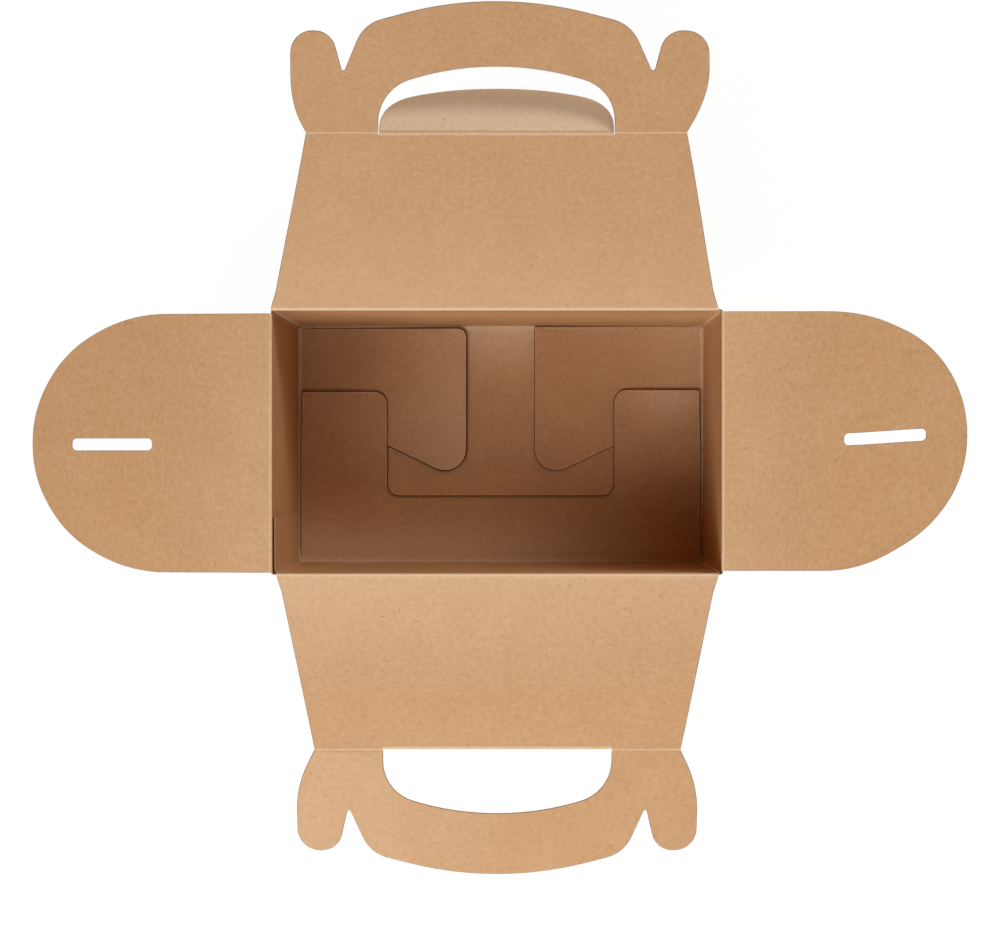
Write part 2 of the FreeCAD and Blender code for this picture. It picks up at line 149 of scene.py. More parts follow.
class GableBoxPose(PropertyGroup):
    """Slopes at which the lid rests, and how far the board has curled."""
    back_slope: angle("Back slope", "Back roof panel, up from level", 18.8)
    front_slope: angle("Front slope", "Front roof panel, up from level", -6.3)
    left_slope: angle("Left slope", "Left side flap, up from level", -4.9)
    right_slope: angle("Right slope", "Right side flap, up from level", 0.9)
    back_tab_drop: angle("Back tab drop", "Back tab, below its roof panel", 58)
    front_tab_drop: angle("Front tab drop", "Front tab, below its roof panel", 100)
    wall_bow: length("Wall bow", "How far the long walls swell outwards", 0.8)
    bottom_bow: length("Bottom bow", "How far the locked bottom bows upwards", 2.2)
    unevenness: length("Unevenness", "Soft waves over the whole board", 0.22)


class GableBoxFinish(PropertyGroup):
    """Colours and details of the board."""
    kraft: colour("Kraft", "Unbleached kraft face", "#C9996A")
    kraft_dark: colour("Kraft cloud", "Denser clouds in the sheet", "#BD8B5B")
    # the crease colour is paler than stretched fibres alone: it also paints the highlight
    # on the lid's folds and the sheen on some panels
    creased: colour("Crease", "Stretched fibres along a crease", "#EBCBA6")
    # the cut edge's colour is partly the cut's own and partly a painted shade of the gaps
    # beside overlapping sheets; the cut slant lets it show from above as a dark line
    cut_edge: colour("Cut edge", "Die-cut edge of the board", "#5E3D22")
    fibre: colour("Fibre", "Coarse fibres in the sheet", "#96663C")
    cut_slant: length("Cut slant", "How far a cut edge runs out below the face", 0.17)
    crease_width: length("Crease width", "Width that the creasing rule marks", 1.2)
    crease_bead: length("Crease bead", "Height of the bead beside a crease", 0.1)
    mesh_step: length("Mesh step", "Spacing of the board's mesh", 2.4)
    fibres_per_cm2: FloatProperty(
        name="Fibres", description="Coarse fibres on each square centimetre",
        default=0.7, min=0.0)
    seed: IntProperty(name="Seed", description="Seed for the fibres", default=7)


class GableBoxStage(PropertyGroup):
    """Floor, lamps and camera."""
    floor: FloatVectorProperty(
        name="Floor", description="Colour of the floor", subtype="COLOR",
        default=(0.86, 0.86, 0.86))
    sky: FloatProperty(name="Sky", description="Strength of the even light", default=0.0)
    lens: FloatProperty(name="Lens", description="Focal length in millimetres",
                        default=82.87, unit="CAMERA")


# ---- drawing flat outlines -----------------------------------------------------------


def rounded(corners, step):
    """Points of a closed outline; its corners are (across, along), or with a radius too."""
    count = len(corners)
    spots = [Vector(c[:2]) for c in corners]
    points = []
    for i, corner in enumerate(corners):
        spot = spots[i]
        back = (spots[i - 1] - spot).normalized()
        on = (spots[(i + 1) % count] - spot).normalized()
        radius = corner[2] if len(corner) > 2 else 0.0
        half = back.angle(on) / 2
        if radius <= 0 or half > math.pi / 2 - 1e-4:
            points.append(spot)
            continue
        start = spot + back * (radius / math.tan(half))
        end = spot + on * (radius / math.tan(half))
        centre = spot + (back + on).normalized() * (radius / math.sin(half))
        turn = math.pi - 2 * half
        # at least one piece for every 9 degrees and for every step of its length
        pieces = max(3, math.ceil(turn / math.radians(9)), math.ceil(turn * radius / step))
        first, last = start - centre, end - centre
        for k in range(pieces + 1):
            share = k / pieces
            way = first * math.sin((1 - share) * turn) + last * math.sin(share * turn)
            points.append(centre + way.normalized() * radius)
    return evenly(points, step)


def evenly(points, step):
    """The same closed outline with long straight runs divided."""
    out = []
    for a, b in zip(points, points[1:] + points[:1]):
        gap = (b - a).length
        if gap < 1e-7:
            continue
        parts = max(1, round(gap / step))
        out += [a.lerp(b, k / parts) for k in range(parts)]
    return out


def flipped(corners):
    """The mirror image of an outline, listed the same way round."""
    return [(-corner[0],) + tuple(corner[1:]) for corner in reversed(corners)]


def mirrored(corners):
    """An outline's right half and its mirror image, as one closed outline."""
    return corners + flipped(corners)


def inside(points, ring):
    """Which points lie inside a closed ring."""
    x, y = points[:, 0][:, None], points[:, 1][:, None]
    a = np.array([tuple(p) for p in ring])
    b = np.roll(a, -1, axis=0)
    crosses = (a[:, 1] > y) != (b[:, 1] > y)
    with np.errstate(divide="ignore", invalid="ignore"):
        at = a[:, 0] + (y - a[:, 1]) * (b[:, 0] - a[:, 0]) / (b[:, 1] - a[:, 1])
    return (crosses & (x < at)).sum(axis=1) % 2 == 1


def within(points, rings):
    """Which points lie inside the first ring and outside the others."""
    keep = inside(points, rings[0])
    for hole in rings[1:]:
        keep &= ~inside(points, hole)
    return keep


def distance_to(points, rings):
    """Distance from each point to the nearest edge of the rings."""
    best = np.full(len(points), 1e9)
    for ring in rings:
        a = np.array([tuple(p) for p in ring])
        b = np.roll(a, -1, axis=0)
        for start, end in zip(a, b):
            run = end - start
            share = np.clip(((points - start) @ run) / (run @ run), 0, 1)
            away = np.linalg.norm(points - start - share[:, None] * run, axis=1)
            best = np.minimum(best, away)
    return best


def both_sides(ring, gap):
    """Points at a small gap on both sides of a closed ring."""
    a = np.array([tuple(p) for p in ring])
    run = np.roll(a, -1, axis=0) - np.roll(a, 1, axis=0)
    normal = np.stack([run[:, 1], -run[:, 0]], axis=1)
    normal /= np.linalg.norm(normal, axis=1)[:, None]
    return np.concatenate([a + normal * gap, a - normal * gap])


def triangulate(rings, step, band, rows=()):
    """Flat triangles inside the first ring and outside the others.

    band is the width beside an edge that the cutting rule presses, and rows lists the
    distances from the fold at which the mesh has to be able to bend.
    """
    low = np.min([tuple(p) for p in rings[0]], axis=0)
    high = np.max([tuple(p) for p in rings[0]], axis=0)
    grid = np.stack(np.meshgrid(
        np.arange(low[0] + step / 2, high[0], step),
        np.arange(low[1] + step / 2, high[1], step)), axis=-1).reshape(-1, 2)
    # points too near an edge, or to the ring of points beside it, would make slivers
    grid = grid[distance_to(grid, rings) > step * 0.45]
    near = [both_sides(ring, band) for ring in rings]
    near += [np.array([(u, row) for u in np.arange(low[0] + step / 3, high[0], step)])
             for row in rows]
    near = np.concatenate(near)
    near = near[distance_to(near, rings) > band * 0.7]
    grid = np.concatenate([grid, near])
    grid = grid[within(grid, rings)]
    points, edges = [], []
    for ring in rings:
        first = len(points)
        points += [Vector(p) for p in ring]
        edges += [(first + k, first + (k + 1) % len(ring)) for k in range(len(ring))]
    points += [Vector(p) for p in grid.tolist()]
    flat, _, faces, *_ = delaunay_2d_cdt(points, edges, [], 1, 1e-7)
    flat = np.array([tuple(p) for p in flat])
    faces = np.array([tuple(f) for f in faces])
    faces = faces[within(flat[faces].mean(axis=1), rings)]
    a, b, c = (flat[faces[:, k]] for k in range(3))
    ab, ac = b - a, c - a
    area = ab[:, 0] * ac[:, 1] - ab[:, 1] * ac[:, 0]
    faces[area < 0] = faces[area < 0][:, ::-1]
    return flat, faces


# ---- laying a flat sheet on its panel ------------------------------------------------


class Lie:
    """How a flat sheet lies: where its fold is, which way it runs and how it curls.

    curl gives how far the sheet rises, and shifts along the fold, at (u, v). parent is
    the lie of the sheet that this one folds from, and the reach at which it does.
    """

    def __init__(self, origin, along, out, slope=0.0, curl=None, parent=None):
        level = Vector(out)
        self.origin = Vector(origin)
        self.along = Vector(along)
        self.out = level * math.cos(slope) + Vector((0, 0, math.sin(slope)))
        self.up = self.along.cross(self.out)
        self.curl = curl or (lambda u, v: (0.0, 0.0))
        self.parent = parent

    def at(self, u, v, h):
        """The point at u along the fold, v away from it and h above the outer face."""
        lift, shift = self.curl(u, v)
        spot = (self.origin + self.along * (u + shift) + self.out * v
                + self.up * (h + lift))
        if self.parent:
            lie, reach = self.parent
            lift, shift = lie.curl(u, reach)
            spot += lie.up * lift + lie.along * shift
        return spot


WAVE_SPACING = 0.045        # of the soft waves in the board


def wave(u, v, seed, size):
    """A soft random height, the same on every run."""
    return noise.noise(Vector((u / WAVE_SPACING, v / WAVE_SPACING, seed))) * size


def add_mesh(name, verts, faces, materials, material_index, uvs, attributes, sharp):
    """A mesh object from plain lists, with its UV map, attributes and sharp edges."""
    mesh = bpy.data.meshes.new(name)
    mesh.from_pydata(verts, [], faces)
    for material in materials:
        mesh.materials.append(material)
    mesh.polygons.foreach_set("material_index", material_index)
    mesh.shade_smooth()
    layer = mesh.uv_layers.new(name=SHEET_UV)
    corner_verts = np.zeros(len(mesh.loops), dtype=np.int32)
    mesh.loops.foreach_get("vertex_index", corner_verts)
    layer.uv.foreach_set("vector", np.array(uvs, dtype=np.float32)[corner_verts].ravel())
    for key, values in attributes.items():
        mesh.attributes.new(key, "FLOAT", "POINT").data.foreach_set(
            "value", np.array(values, dtype=np.float32))
    ends = np.zeros(len(mesh.edges) * 2, dtype=np.int32)
    mesh.edges.foreach_get("vertices", ends)
    ends = np.sort(ends.reshape(-1, 2), axis=1)
    flags = np.array([(a, b) in sharp for a, b in ends.tolist()])
    mesh.attributes.new("sharp_edge", "BOOLEAN", "EDGE").data.foreach_set("value", flags)
    mesh.validate()
    mesh.update()
    thing = bpy.data.objects.new(name, mesh)
    bpy.context.scene.collection.objects.link(thing)
    return thing


DIE_ROUND = 0.13            # round that the die leaves on a cut, as a share of the board
PRESSED_BAND = 1.6          # band beside a cut, as a share of the cut's own width


def board_sheet(name, outlines, lie, crease=None, edge=0.25, rows=(), slant=1.0,
                dark=0.0):
    """A sheet of board: both faces, and its cut edge with the faint round of the die.

    crease gives how pale the face is at (u, v): stretched fibres along a crease, and
    elsewhere painted sheen; edge the same beside a cut, crushed fibres with a painted
    highlight; slant scales how far the cut runs out below the face, and dark how dark it
    is, a painted shade.
    """
    s, finish = bpy.context.scene.gable_sizes, bpy.context.scene.gable_finish
    step = finish.mesh_step
    thick, soft, slant = s.board, s.board * DIE_ROUND, slant * finish.cut_slant
    flat, faces = triangulate([rounded(outline, step) for outline in outlines], step,
                              (slant + soft) * PRESSED_BAND, rows)
    count = len(flat)
    # boundary edges run with the sheet on their left
    pairs = {}
    for face in faces.tolist():
        for a, b in zip(face, face[1:] + face[:1]):
            pairs[(a, b)] = True
    rim = [(a, b) for a, b in pairs if (b, a) not in pairs]
    outward = {}
    for a, b in rim:
        run = flat[b] - flat[a]
        normal = np.array([run[1], -run[0]]) / np.linalg.norm(run)
        for end in (a, b):
            outward[end] = outward.get(end, 0) + normal
    order = sorted(outward)
    inset, upper = flat.copy(), flat.copy()
    for end in order:
        way = outward[end] / np.linalg.norm(outward[end])
        upper[end] -= way * slant
        inset[end] -= way * (slant + soft)
    rim_row = {end: k for k, end in enumerate(order)}
    verts = [lie.at(u, v, 0.0) for u, v in inset]
    verts += [lie.at(u, v, thick) for u, v in inset]
    verts += [lie.at(*flat[end], soft) for end in order]
    verts += [lie.at(*upper[end], thick - soft) for end in order]
    low, high = 2 * count, 2 * count + len(order)
    polygons = [face[::-1] for face in faces.tolist()]
    polygons += [[corner + count for corner in face] for face in faces.tolist()]
    index = [0] * len(polygons)
    sharp = set()
    for a, b in rim:
        ra, rb = rim_row[a], rim_row[b]
        levels = [(a, b), (low + ra, low + rb), (high + ra, high + rb),
                  (count + a, count + b)]
        for (a0, b0), (a1, b1) in zip(levels, levels[1:]):
            polygons.append([a0, b0, b1, a1])
            index.append(1)
        sharp |= {tuple(sorted((a, b))), tuple(sorted((count + a, count + b)))}
    uvs = [(u, v) for u, v in inset] * 2
    uvs += [(flat[end][0], flat[end][1]) for end in order]
    uvs += [(flat[end][0] + thick, flat[end][1] + thick) for end in order]
    clear = [0.0 if k in rim_row else 1.0 for k in range(count)] * 2
    clear += [0.0] * (2 * len(order))
    marks = [crease(u, v) if crease else 0.0 for u, v in inset]
    for end in order:
        marks[end] = max(marks[end], edge)
    marks = marks * 2 + [dark] * (2 * len(order))
    return add_mesh(name, verts, polygons, [kraft_board(), cut_board()], index, uvs,
                    {CLEAR: clear, CREASE: marks}, sharp)


def bump(distance, width):
    """1 on a line, falling softly to 0 beside it."""
    return math.exp(-(distance / width) ** 2)


def climb(distance, start, run, rise):
    """A soft step up by rise, over run, from start."""
    share = min(1.0, max(0.0, (distance - start) / run))
    return rise * share * share * (3 - 2 * share)


# ---- materials -----------------------------------------------------------------------


def linear(code):
    """An sRGB hex value as linear red, green, blue and alpha."""
    parts = [int(code[k:k + 2], 16) / 255 for k in (1, 3, 5)]
    return [p / 12.92 if p <= 0.04045 else ((p + 0.055) / 1.055) ** 2.4
            for p in parts] + [1.0]


def feed(tree, made, inputs):
    """Give a node its inputs: each a value, a socket to link, or a node whose first
    output is to be linked."""
    for key, value in inputs.items():
        if isinstance(value, bpy.types.Node):
            value = value.outputs[0]
        if isinstance(value, bpy.types.NodeSocket):
            tree.links.new(value, made.inputs[key])
        else:
            made.inputs[key].default_value = value


def node(tree, kind, inputs=None, **settings):
    """Add a node to a tree, with its settings and its inputs."""
    made = tree.nodes.new(kind)
    for key, value in settings.items():
        setattr(made, key, value)
    feed(tree, made, inputs or {})
    return made


def product(tree, first, second, **settings):
    """A node that multiplies two numbers."""
    return node(tree, "ShaderNodeMath", {0: first, 1: second}, operation="MULTIPLY",
                **settings)


def patches(tree, place, size, **inputs):
    """Noise whose patches are about this many metres across."""
    return node(tree, "ShaderNodeTexNoise", {"Vector": place, "Scale": 1 / size, **inputs})


def ramp(tree, value, low, high, first=0.0, last=1.0):
    """A number that goes from first to last while value goes from low to high."""
    return node(tree, "ShaderNodeMapRange",
                {"Value": value, 1: low, 2: high, 3: first, 4: last})


def colours(tree, share, first, second):
    """The colour between the first and the second that has this share of the second."""
    return node(tree, "ShaderNodeMix", {"Factor": share, 6: first, 7: second},
                data_type="RGBA").outputs[2]


def material(name):
    """A new material, its tree, the Principled shader in it, and its texture space."""
    made = bpy.data.materials.new(name)
    made.use_nodes = True
    tree = made.node_tree
    tree.nodes.clear()
    shader = node(tree, "ShaderNodeBsdfPrincipled")
    node(tree, "ShaderNodeOutputMaterial", {"Surface": shader})
    return made, tree, shader, node(tree, "ShaderNodeTexCoord").outputs["Object"]


def kraft_board():
    """Unbleached kraft board, calendered on its faces: a dense matt brown with a faint
    sheen at a slant, clouds where the pulp lay thicker, and fine fibres along the web."""
    if "kraft board" in bpy.data.materials:
        return bpy.data.materials["kraft board"]
    finish = bpy.context.scene.gable_finish
    made, tree, shader, place = material("kraft board")
    clouds = patches(tree, place, 0.014, Detail=3.0, Roughness=0.55)
    mottle = patches(tree, place, 0.0016, Detail=4.0, Roughness=0.7)
    # fibres 2.2 mm long and 0.9 mm apart, drawn coarser than real ones so that they show
    sheet = node(tree, "ShaderNodeUVMap", uv_map=SHEET_UV)
    stretch = node(tree, "ShaderNodeMapping",
                   {"Vector": sheet, "Scale": (1 / 0.0022, 1 / 0.0009, 1)})
    fibres = patches(tree, stretch, 1.0, Detail=2.0, Roughness=0.6)
    base = colours(tree, ramp(tree, clouds, 0.32, 0.68, 0.0, 0.35), linear(finish.kraft),
                   linear(finish.kraft_dark))
    grain = node(tree, "ShaderNodeMix", {0: 0.35, 2: mottle, 3: fibres}, data_type="FLOAT")
    # light grains are greyer and dark ones browner, so red is scaled least and blue most
    tint = colours(tree, ramp(tree, grain, 0.3, 0.7), (0.88, 0.83, 0.69, 1),
                   (1.12, 1.17, 1.31, 1))
    speckled = node(tree, "ShaderNodeVectorMath", {0: base, 1: tint}, operation="MULTIPLY")
    # dark specks of bark, 0.35 mm across
    specks = node(tree, "ShaderNodeTexVoronoi", {"Vector": place, "Scale": 1 / 0.0042})
    near = ramp(tree, specks.outputs["Distance"], 0.03, 0.1, 0.45, 0.0)
    some = node(tree, "ShaderNodeSeparateColor", {"Color": specks.outputs["Color"]})
    chosen = node(tree, "ShaderNodeMath", {0: some, 1: 0.72}, operation="GREATER_THAN")
    spotted = colours(tree, product(tree, near, chosen), speckled, linear(finish.fibre))
    # creases are paler where the fibres have stretched, and break up along their length;
    # the same pale mark also paints the highlight on the lid's folds, the sheen on some
    # panels and a highlight beside the cuts
    crease = node(tree, "ShaderNodeAttribute", attribute_name=CREASE).outputs["Fac"]
    pale = product(tree, crease, ramp(tree, mottle, 0.3, 0.6, 0.75), use_clamp=True)
    relief = node(tree, "ShaderNodeBump",
                  {"Height": grain, "Strength": 0.22, "Distance": 0.00012})
    feed(tree, shader, {"Base Color": colours(tree, pale, spotted, linear(finish.creased)),
                        "Roughness": ramp(tree, mottle, 0.3, 0.7, 0.5, 0.64), "IOR": 1.5,
                        "Normal": relief})
    return made


def cut_board():
    """The die-cut edge of kraft board: open, matt fibres, a little duller than the face."""
    if "die-cut board edge" in bpy.data.materials:
        return bpy.data.materials["die-cut board edge"]
    finish = bpy.context.scene.gable_finish
    made, tree, shader, place = material("die-cut board edge")
    torn = patches(tree, place, 0.0004, Detail=3.0)
    # down in the box the cuts are darkened, a painted shade of the gaps between the flaps,
    # and fewer of their fibres show pale
    cut_shade = node(tree, "ShaderNodeAttribute", attribute_name=CREASE).outputs["Fac"]
    unshaded = node(tree, "ShaderNodeMath", {0: 1.1, 1: cut_shade}, operation="SUBTRACT")
    share = product(tree, torn, unshaded, use_clamp=True)
    relief = node(tree, "ShaderNodeBump",
                  {"Height": torn, "Strength": 0.5, "Distance": 0.0001})
    feed(tree, shader, {"Base Color": colours(tree, share, linear(finish.cut_edge),
                                              linear(finish.kraft)),
                        "Roughness": 0.85, "Normal": relief})
    return made


def bark_fibre():
    """A coarse fibre or speck of bark lying in the kraft face: darker, and matt."""
    if "bark fibre" in bpy.data.materials:
        return bpy.data.materials["bark fibre"]
    finish = bpy.context.scene.gable_finish
    made, tree, shader, place = material("bark fibre")
    # fibres differ from one another
    patch = patches(tree, place, 0.006)
    feed(tree, shader, {"Base Color": colours(tree, patch, linear(finish.fibre),
                                              linear(finish.kraft_dark)),
                        "Roughness": 0.8})
    return made


# ---- Geometry Nodes: creases and fibres ----------------------------------------------


def add_input(tree, name, kind, value=None):
    """Add an input socket to a tree, with its value where it has one."""
    socket = tree.interface.new_socket(name, in_out="INPUT", socket_type=kind)
    if value is not None:
        socket.default_value = value


def crease_tree():
    """Sweeps a crease's cross-section along a straight fold."""
    if "Board crease" in bpy.data.node_groups:
        return bpy.data.node_groups["Board crease"]
    tree = bpy.data.node_groups.new("Board crease", "GeometryNodeTree")
    add_input(tree, "Section", "NodeSocketGeometry")
    add_input(tree, "Fold start", "NodeSocketFloat", -0.01)
    add_input(tree, "Fold end", "NodeSocketFloat", 0.01)
    add_input(tree, "Rows", "NodeSocketInt", 10)
    add_input(tree, "Material", "NodeSocketMaterial")
    tree.interface.new_socket("Crease", in_out="OUTPUT", socket_type="NodeSocketGeometry")
    given = node(tree, "NodeGroupInput")
    start = node(tree, "ShaderNodeCombineXYZ", {0: given.outputs["Fold start"]})
    end = node(tree, "ShaderNodeCombineXYZ", {0: given.outputs["Fold end"]})
    line = node(tree, "GeometryNodeMeshLine",
                {"Count": given.outputs["Rows"], "Start Location": start, "Offset": end},
                mode="END_POINTS")
    path = node(tree, "GeometryNodeMeshToCurve", {"Mesh": line})
    section = node(tree, "GeometryNodeMeshToCurve", {"Mesh": given.outputs["Section"]})
    swept = node(tree, "GeometryNodeCurveToMesh",
                 {"Curve": path, "Profile Curve": section, "Fill Caps": True})
    smooth = node(tree, "GeometryNodeSetShadeSmooth", {"Geometry": swept})
    real = node(tree, "GeometryNodeRealizeInstances", {"Geometry": smooth})
    finished = node(tree, "GeometryNodeSetMaterial",
                    {"Geometry": real, "Material": given.outputs["Material"]})
    node(tree, "NodeGroupOutput", {0: finished})
    return tree


def fibre_tree():
    """Scatters coarse fibres over a sheet of board, away from its cut edges."""
    if "Board fibres" in bpy.data.node_groups:
        return bpy.data.node_groups["Board fibres"]
    tree = bpy.data.node_groups.new("Board fibres", "GeometryNodeTree")
    add_input(tree, "Board", "NodeSocketGeometry")
    add_input(tree, "Fibres per square metre", "NodeSocketFloat", 9000.0)
    add_input(tree, "Fibre length", "NodeSocketFloat", 0.0017)
    add_input(tree, "Fibre width", "NodeSocketFloat", 0.00018)
    add_input(tree, "Seed", "NodeSocketInt", 7)
    add_input(tree, "Material", "NodeSocketMaterial")
    tree.interface.new_socket("Fibres", in_out="OUTPUT", socket_type="NodeSocketGeometry")
    given = node(tree, "NodeGroupInput")
    away = node(tree, "GeometryNodeInputNamedAttribute", {0: CLEAR}, data_type="FLOAT")
    density = product(tree, given.outputs["Fibres per square metre"], away)
    points = node(tree, "GeometryNodeDistributePointsOnFaces",
                  {"Mesh": given.outputs["Board"], "Density": density,
                   "Seed": given.outputs["Seed"]}, distribute_method="RANDOM")
    # a fibre is a narrow strip, bowed along its length and lying just on the face
    strip = node(tree, "GeometryNodeMeshGrid",
                 {"Size X": given.outputs["Fibre length"],
                  "Size Y": given.outputs["Fibre width"], 2: 5, 3: 2})
    where = node(tree, "GeometryNodeInputPosition")
    parts = node(tree, "ShaderNodeSeparateXYZ", {0: where})
    bowed = product(tree, product(tree, parts, parts), 160.0)
    offset = node(tree, "ShaderNodeCombineXYZ", {1: bowed, 2: 0.000012})
    fibre = node(tree, "GeometryNodeSetPosition", {"Geometry": strip, "Offset": offset})
    scale = node(tree, "FunctionNodeRandomValue",
                 {"Seed": given.outputs["Seed"], 2: 0.3, 3: 1.15}, data_type="FLOAT")
    placed = node(tree, "GeometryNodeInstanceOnPoints",
                  {"Points": points.outputs["Points"], "Instance": fibre,
                   "Rotation": points.outputs["Rotation"], "Scale": scale.outputs[1]})
    spin = node(tree, "FunctionNodeRandomValue",
                {"Seed": given.outputs["Seed"], 2: 0.0, 3: 6.2832}, data_type="FLOAT")
    about = node(tree, "ShaderNodeCombineXYZ", {2: spin.outputs[1]})
    turned = node(tree, "GeometryNodeRotateInstances",
                  {"Instances": placed, "Rotation": about})
    real = node(tree, "GeometryNodeRealizeInstances", {"Geometry": turned})
    finished = node(tree, "GeometryNodeSetMaterial",
                    {"Geometry": real, "Material": given.outputs["Material"]})
    node(tree, "NodeGroupOutput", {0: finished})
    return tree


def grown(source, name, tree, values):
    """Run a tree on an object with its inputs set, and return the plain mesh it makes."""
    modifier = source.modifiers.new("Build", "NODES")
    modifier.node_group = tree
    for item in tree.interface.items_tree:
        if item.in_out == "INPUT" and item.name in values:
            modifier[item.identifier] = values[item.name]
    bpy.context.view_layer.update()
    done = source.evaluated_get(bpy.context.evaluated_depsgraph_get())
    mesh = bpy.data.meshes.new_from_object(done)
    source.modifiers.remove(modifier)
    mesh.name = name
    thing = bpy.data.objects.new(name, mesh)
    bpy.context.scene.collection.objects.link(thing)
    return thing


def crease_section(turn, legs, strength, beside):
    """Cross-section of a crease about its hinge line, with its marks.

    turn is the angle from the second panel's inner face back to the first one's.
    A crease that is still flat shows only as a fine line. The legs sleeve the two panels'
    edges by a hair, so no gap shows at any angle. strength is how pale the line is,
    stretched fibres with a painted highlight, and beside how pale the second panel is next
    to it, a painted sheen.
    """
    s, finish = bpy.context.scene.gable_sizes, bpy.context.scene.gable_finish
    thick, skin = s.board, 0.00001
    width = finish.crease_width / (2 if turn > 0 else 5)
    leg_a, leg_b = legs
    # points along a leg, as shares of it, closer together towards the hinge line
    shares = [1.0, 0.98, 0.8, 0.6, 0.4, 0.25, 0.12, 0.0]

    def spot(direction, distance):
        return Vector((math.cos(direction), math.sin(direction))) * distance

    path = [(spot(turn, -leg_a * share), turn, leg_a * share) for share in shares]
    turns = max(1, round(math.degrees(turn) / 12))
    path += [(Vector((0, 0)), turn * (1 - k / turns), 0.0) for k in range(1, turns)]
    if turn > 0:
        path.append((Vector((0, 0)), 0.0, 0.0))
    path += [(spot(0.0, leg_b * share), 0.0, leg_b * share) for share in shares[-2::-1]]
    inner, outer = [], []
    for foot, direction, distance in path:
        normal = Vector((-math.sin(direction), math.cos(direction)))
        mark = strength * bump(distance, width)
        pale = max(mark, beside if direction == 0.0 else 0.0)
        inner.append((foot + normal * (thick + skin + finish.crease_bead * mark), pale))
        outer.append((foot - normal * skin, pale))
    # the outer face keeps one line of points along the hinge
    outer = [p for k, p in enumerate(outer)
             if k == 0 or (p[0] - outer[k - 1][0]).length > 1e-5]
    return outer + inner[::-1]


def crease(name, lie, start, end, turn, legs, first, second, narrow=0.0, strength=1.0,
           beside=0.0):
    """A crease between two panels, swept along the fold from start to end.

    narrow is how much the second panel's half width shrinks for its distance from the fold;
    first and second are not used; the others are as for the cross-section.
    """
    finish = bpy.context.scene.gable_finish
    ring = crease_section(turn, legs, strength, beside)
    mesh = bpy.data.meshes.new("section")
    mesh.from_pydata([(p.x, p.y, 0) for p, _ in ring],
                     [(k, (k + 1) % len(ring)) for k in range(len(ring))], [])
    mesh.attributes.new(CREASE, "FLOAT", "POINT").data.foreach_set(
        "value", np.array([mark for _, mark in ring], dtype=np.float32))
    section = bpy.data.objects.new("section", mesh)
    bpy.context.scene.collection.objects.link(section)
    rows = max(2, round((end - start) / finish.mesh_step))
    strip = grown(section, name, crease_tree(), {
        "Fold start": start, "Fold end": end, "Rows": rows, "Material": kraft_board()})
    bpy.data.objects.remove(section)
    layer = strip.data.uv_layers.new(name=SHEET_UV)
    spots = [vertex.co.copy() for vertex in strip.data.vertices]
    for loop in strip.data.loops:
        local = spots[loop.vertex_index]
        layer.uv[loop.index].vector = (local.x, -local.y)
    for vertex, local in zip(strip.data.vertices, spots):
        u = local.x * (1 - narrow * max(0.0, -local.y) / end)
        vertex.co = lie.at(u, -local.y, -local.z)
    strip.data.update()
    reach = 0.0003
    middle = (start + end) / 2
    away = Vector((-math.cos(turn), -math.sin(turn))) * reach
    lie.at(middle, away.x, away.y)
    lie.at(middle, reach, 0)
    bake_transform(strip)


def ride_with_fibres(sheet, body, cad_node=None, seed=0):
    """Give a sheet its body, and grow the coarse fibres on it."""
    finish = bpy.context.scene.gable_finish
    fibres = grown(sheet, sheet.name + "_fibres", fibre_tree(), {
        "Fibres per square metre": finish.fibres_per_cm2 * 1e4,
        "Seed": finish.seed + seed, "Material": bark_fibre()})
    for thing in (sheet, fibres):
        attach(thing, body)
    if cad_node:
        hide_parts(cad_node)


# ---- where each panel lies -----------------------------------------------------------


# How far each side of the lid has crept along its fold, at u along the fold and v away
# from it: a little at the fold, and more towards the tip.
CREEP = {
    "back": lambda u, v: (-0.0008 + climb(v, 0.0, 0.06, 0.001)
                          + climb(v, 0.062, 0.022, 0.0013) * (u / 0.071) ** 2),
    "front": lambda u, v: -0.0002 + climb(v, 0.05, 0.03, 0.0003),
    "left": lambda u, v: -0.0004,
    "right": lambda u, v: -0.0003 + climb(v, 0.035, 0.045, -0.0021),
}


def lid_lie(side):
    """How the board of a side of the lid lies at rest, handle and all."""
    pose = bpy.context.scene.gable_pose
    kind = "roof_fold" if side in ("back", "front") else "side_flap_fold"
    along, slope, seed = {
        "back": ((1, 0, 0), pose.back_slope, 3),
        "front": ((-1, 0, 0), pose.front_slope, 5),
        "left": ((0, 1, 0), pose.left_slope, 8),
        "right": ((0, -1, 0), pose.right_slope, 11),
    }[side]
    # the waves grow from nothing over the first 20 mm from the fold
    return Lie(JOINTS[f"{side}_{kind}"]["pos_m"], along, (-along[1], along[0], 0), slope,
               lambda u, v: (wave(u, v, seed, pose.unevenness) * min(1, v / 0.02),
                             CREEP[side](u, v)))


def beyond(lie, reach):
    """The lie of the same board about a second fold, reach away from the first."""
    moved = copy.copy(lie)
    moved.origin = lie.origin + lie.out * reach
    moved.curl = lambda u, v: lie.curl(u, v + reach)
    return moved


def tab_lie(side):
    """How a hand-hole tab lies, folded down from its roof panel and curled."""
    s, pose = bpy.context.scene.gable_sizes, bpy.context.scene.gable_pose
    roof = lid_lie(side)
    slope = pose.back_slope if side == "back" else pose.front_slope
    drop = pose.back_tab_drop if side == "back" else pose.front_tab_drop
    pivot = JOINTS[f"{side}_tab_fold"]["pos_m"]
    out = (0, 1, 0) if side == "back" else (0, -1, 0)
    # it rises from its fold, curls back down, and droops at its two ends
    return Lie(pivot, roof.along, out, slope - drop,
               lambda u, v: (0.3 * v - 13.3 * v * v - 0.1 * v * abs(u / 0.04) ** 3, 0.0),
               (roof, s.roof_reach - s.tab_inset))


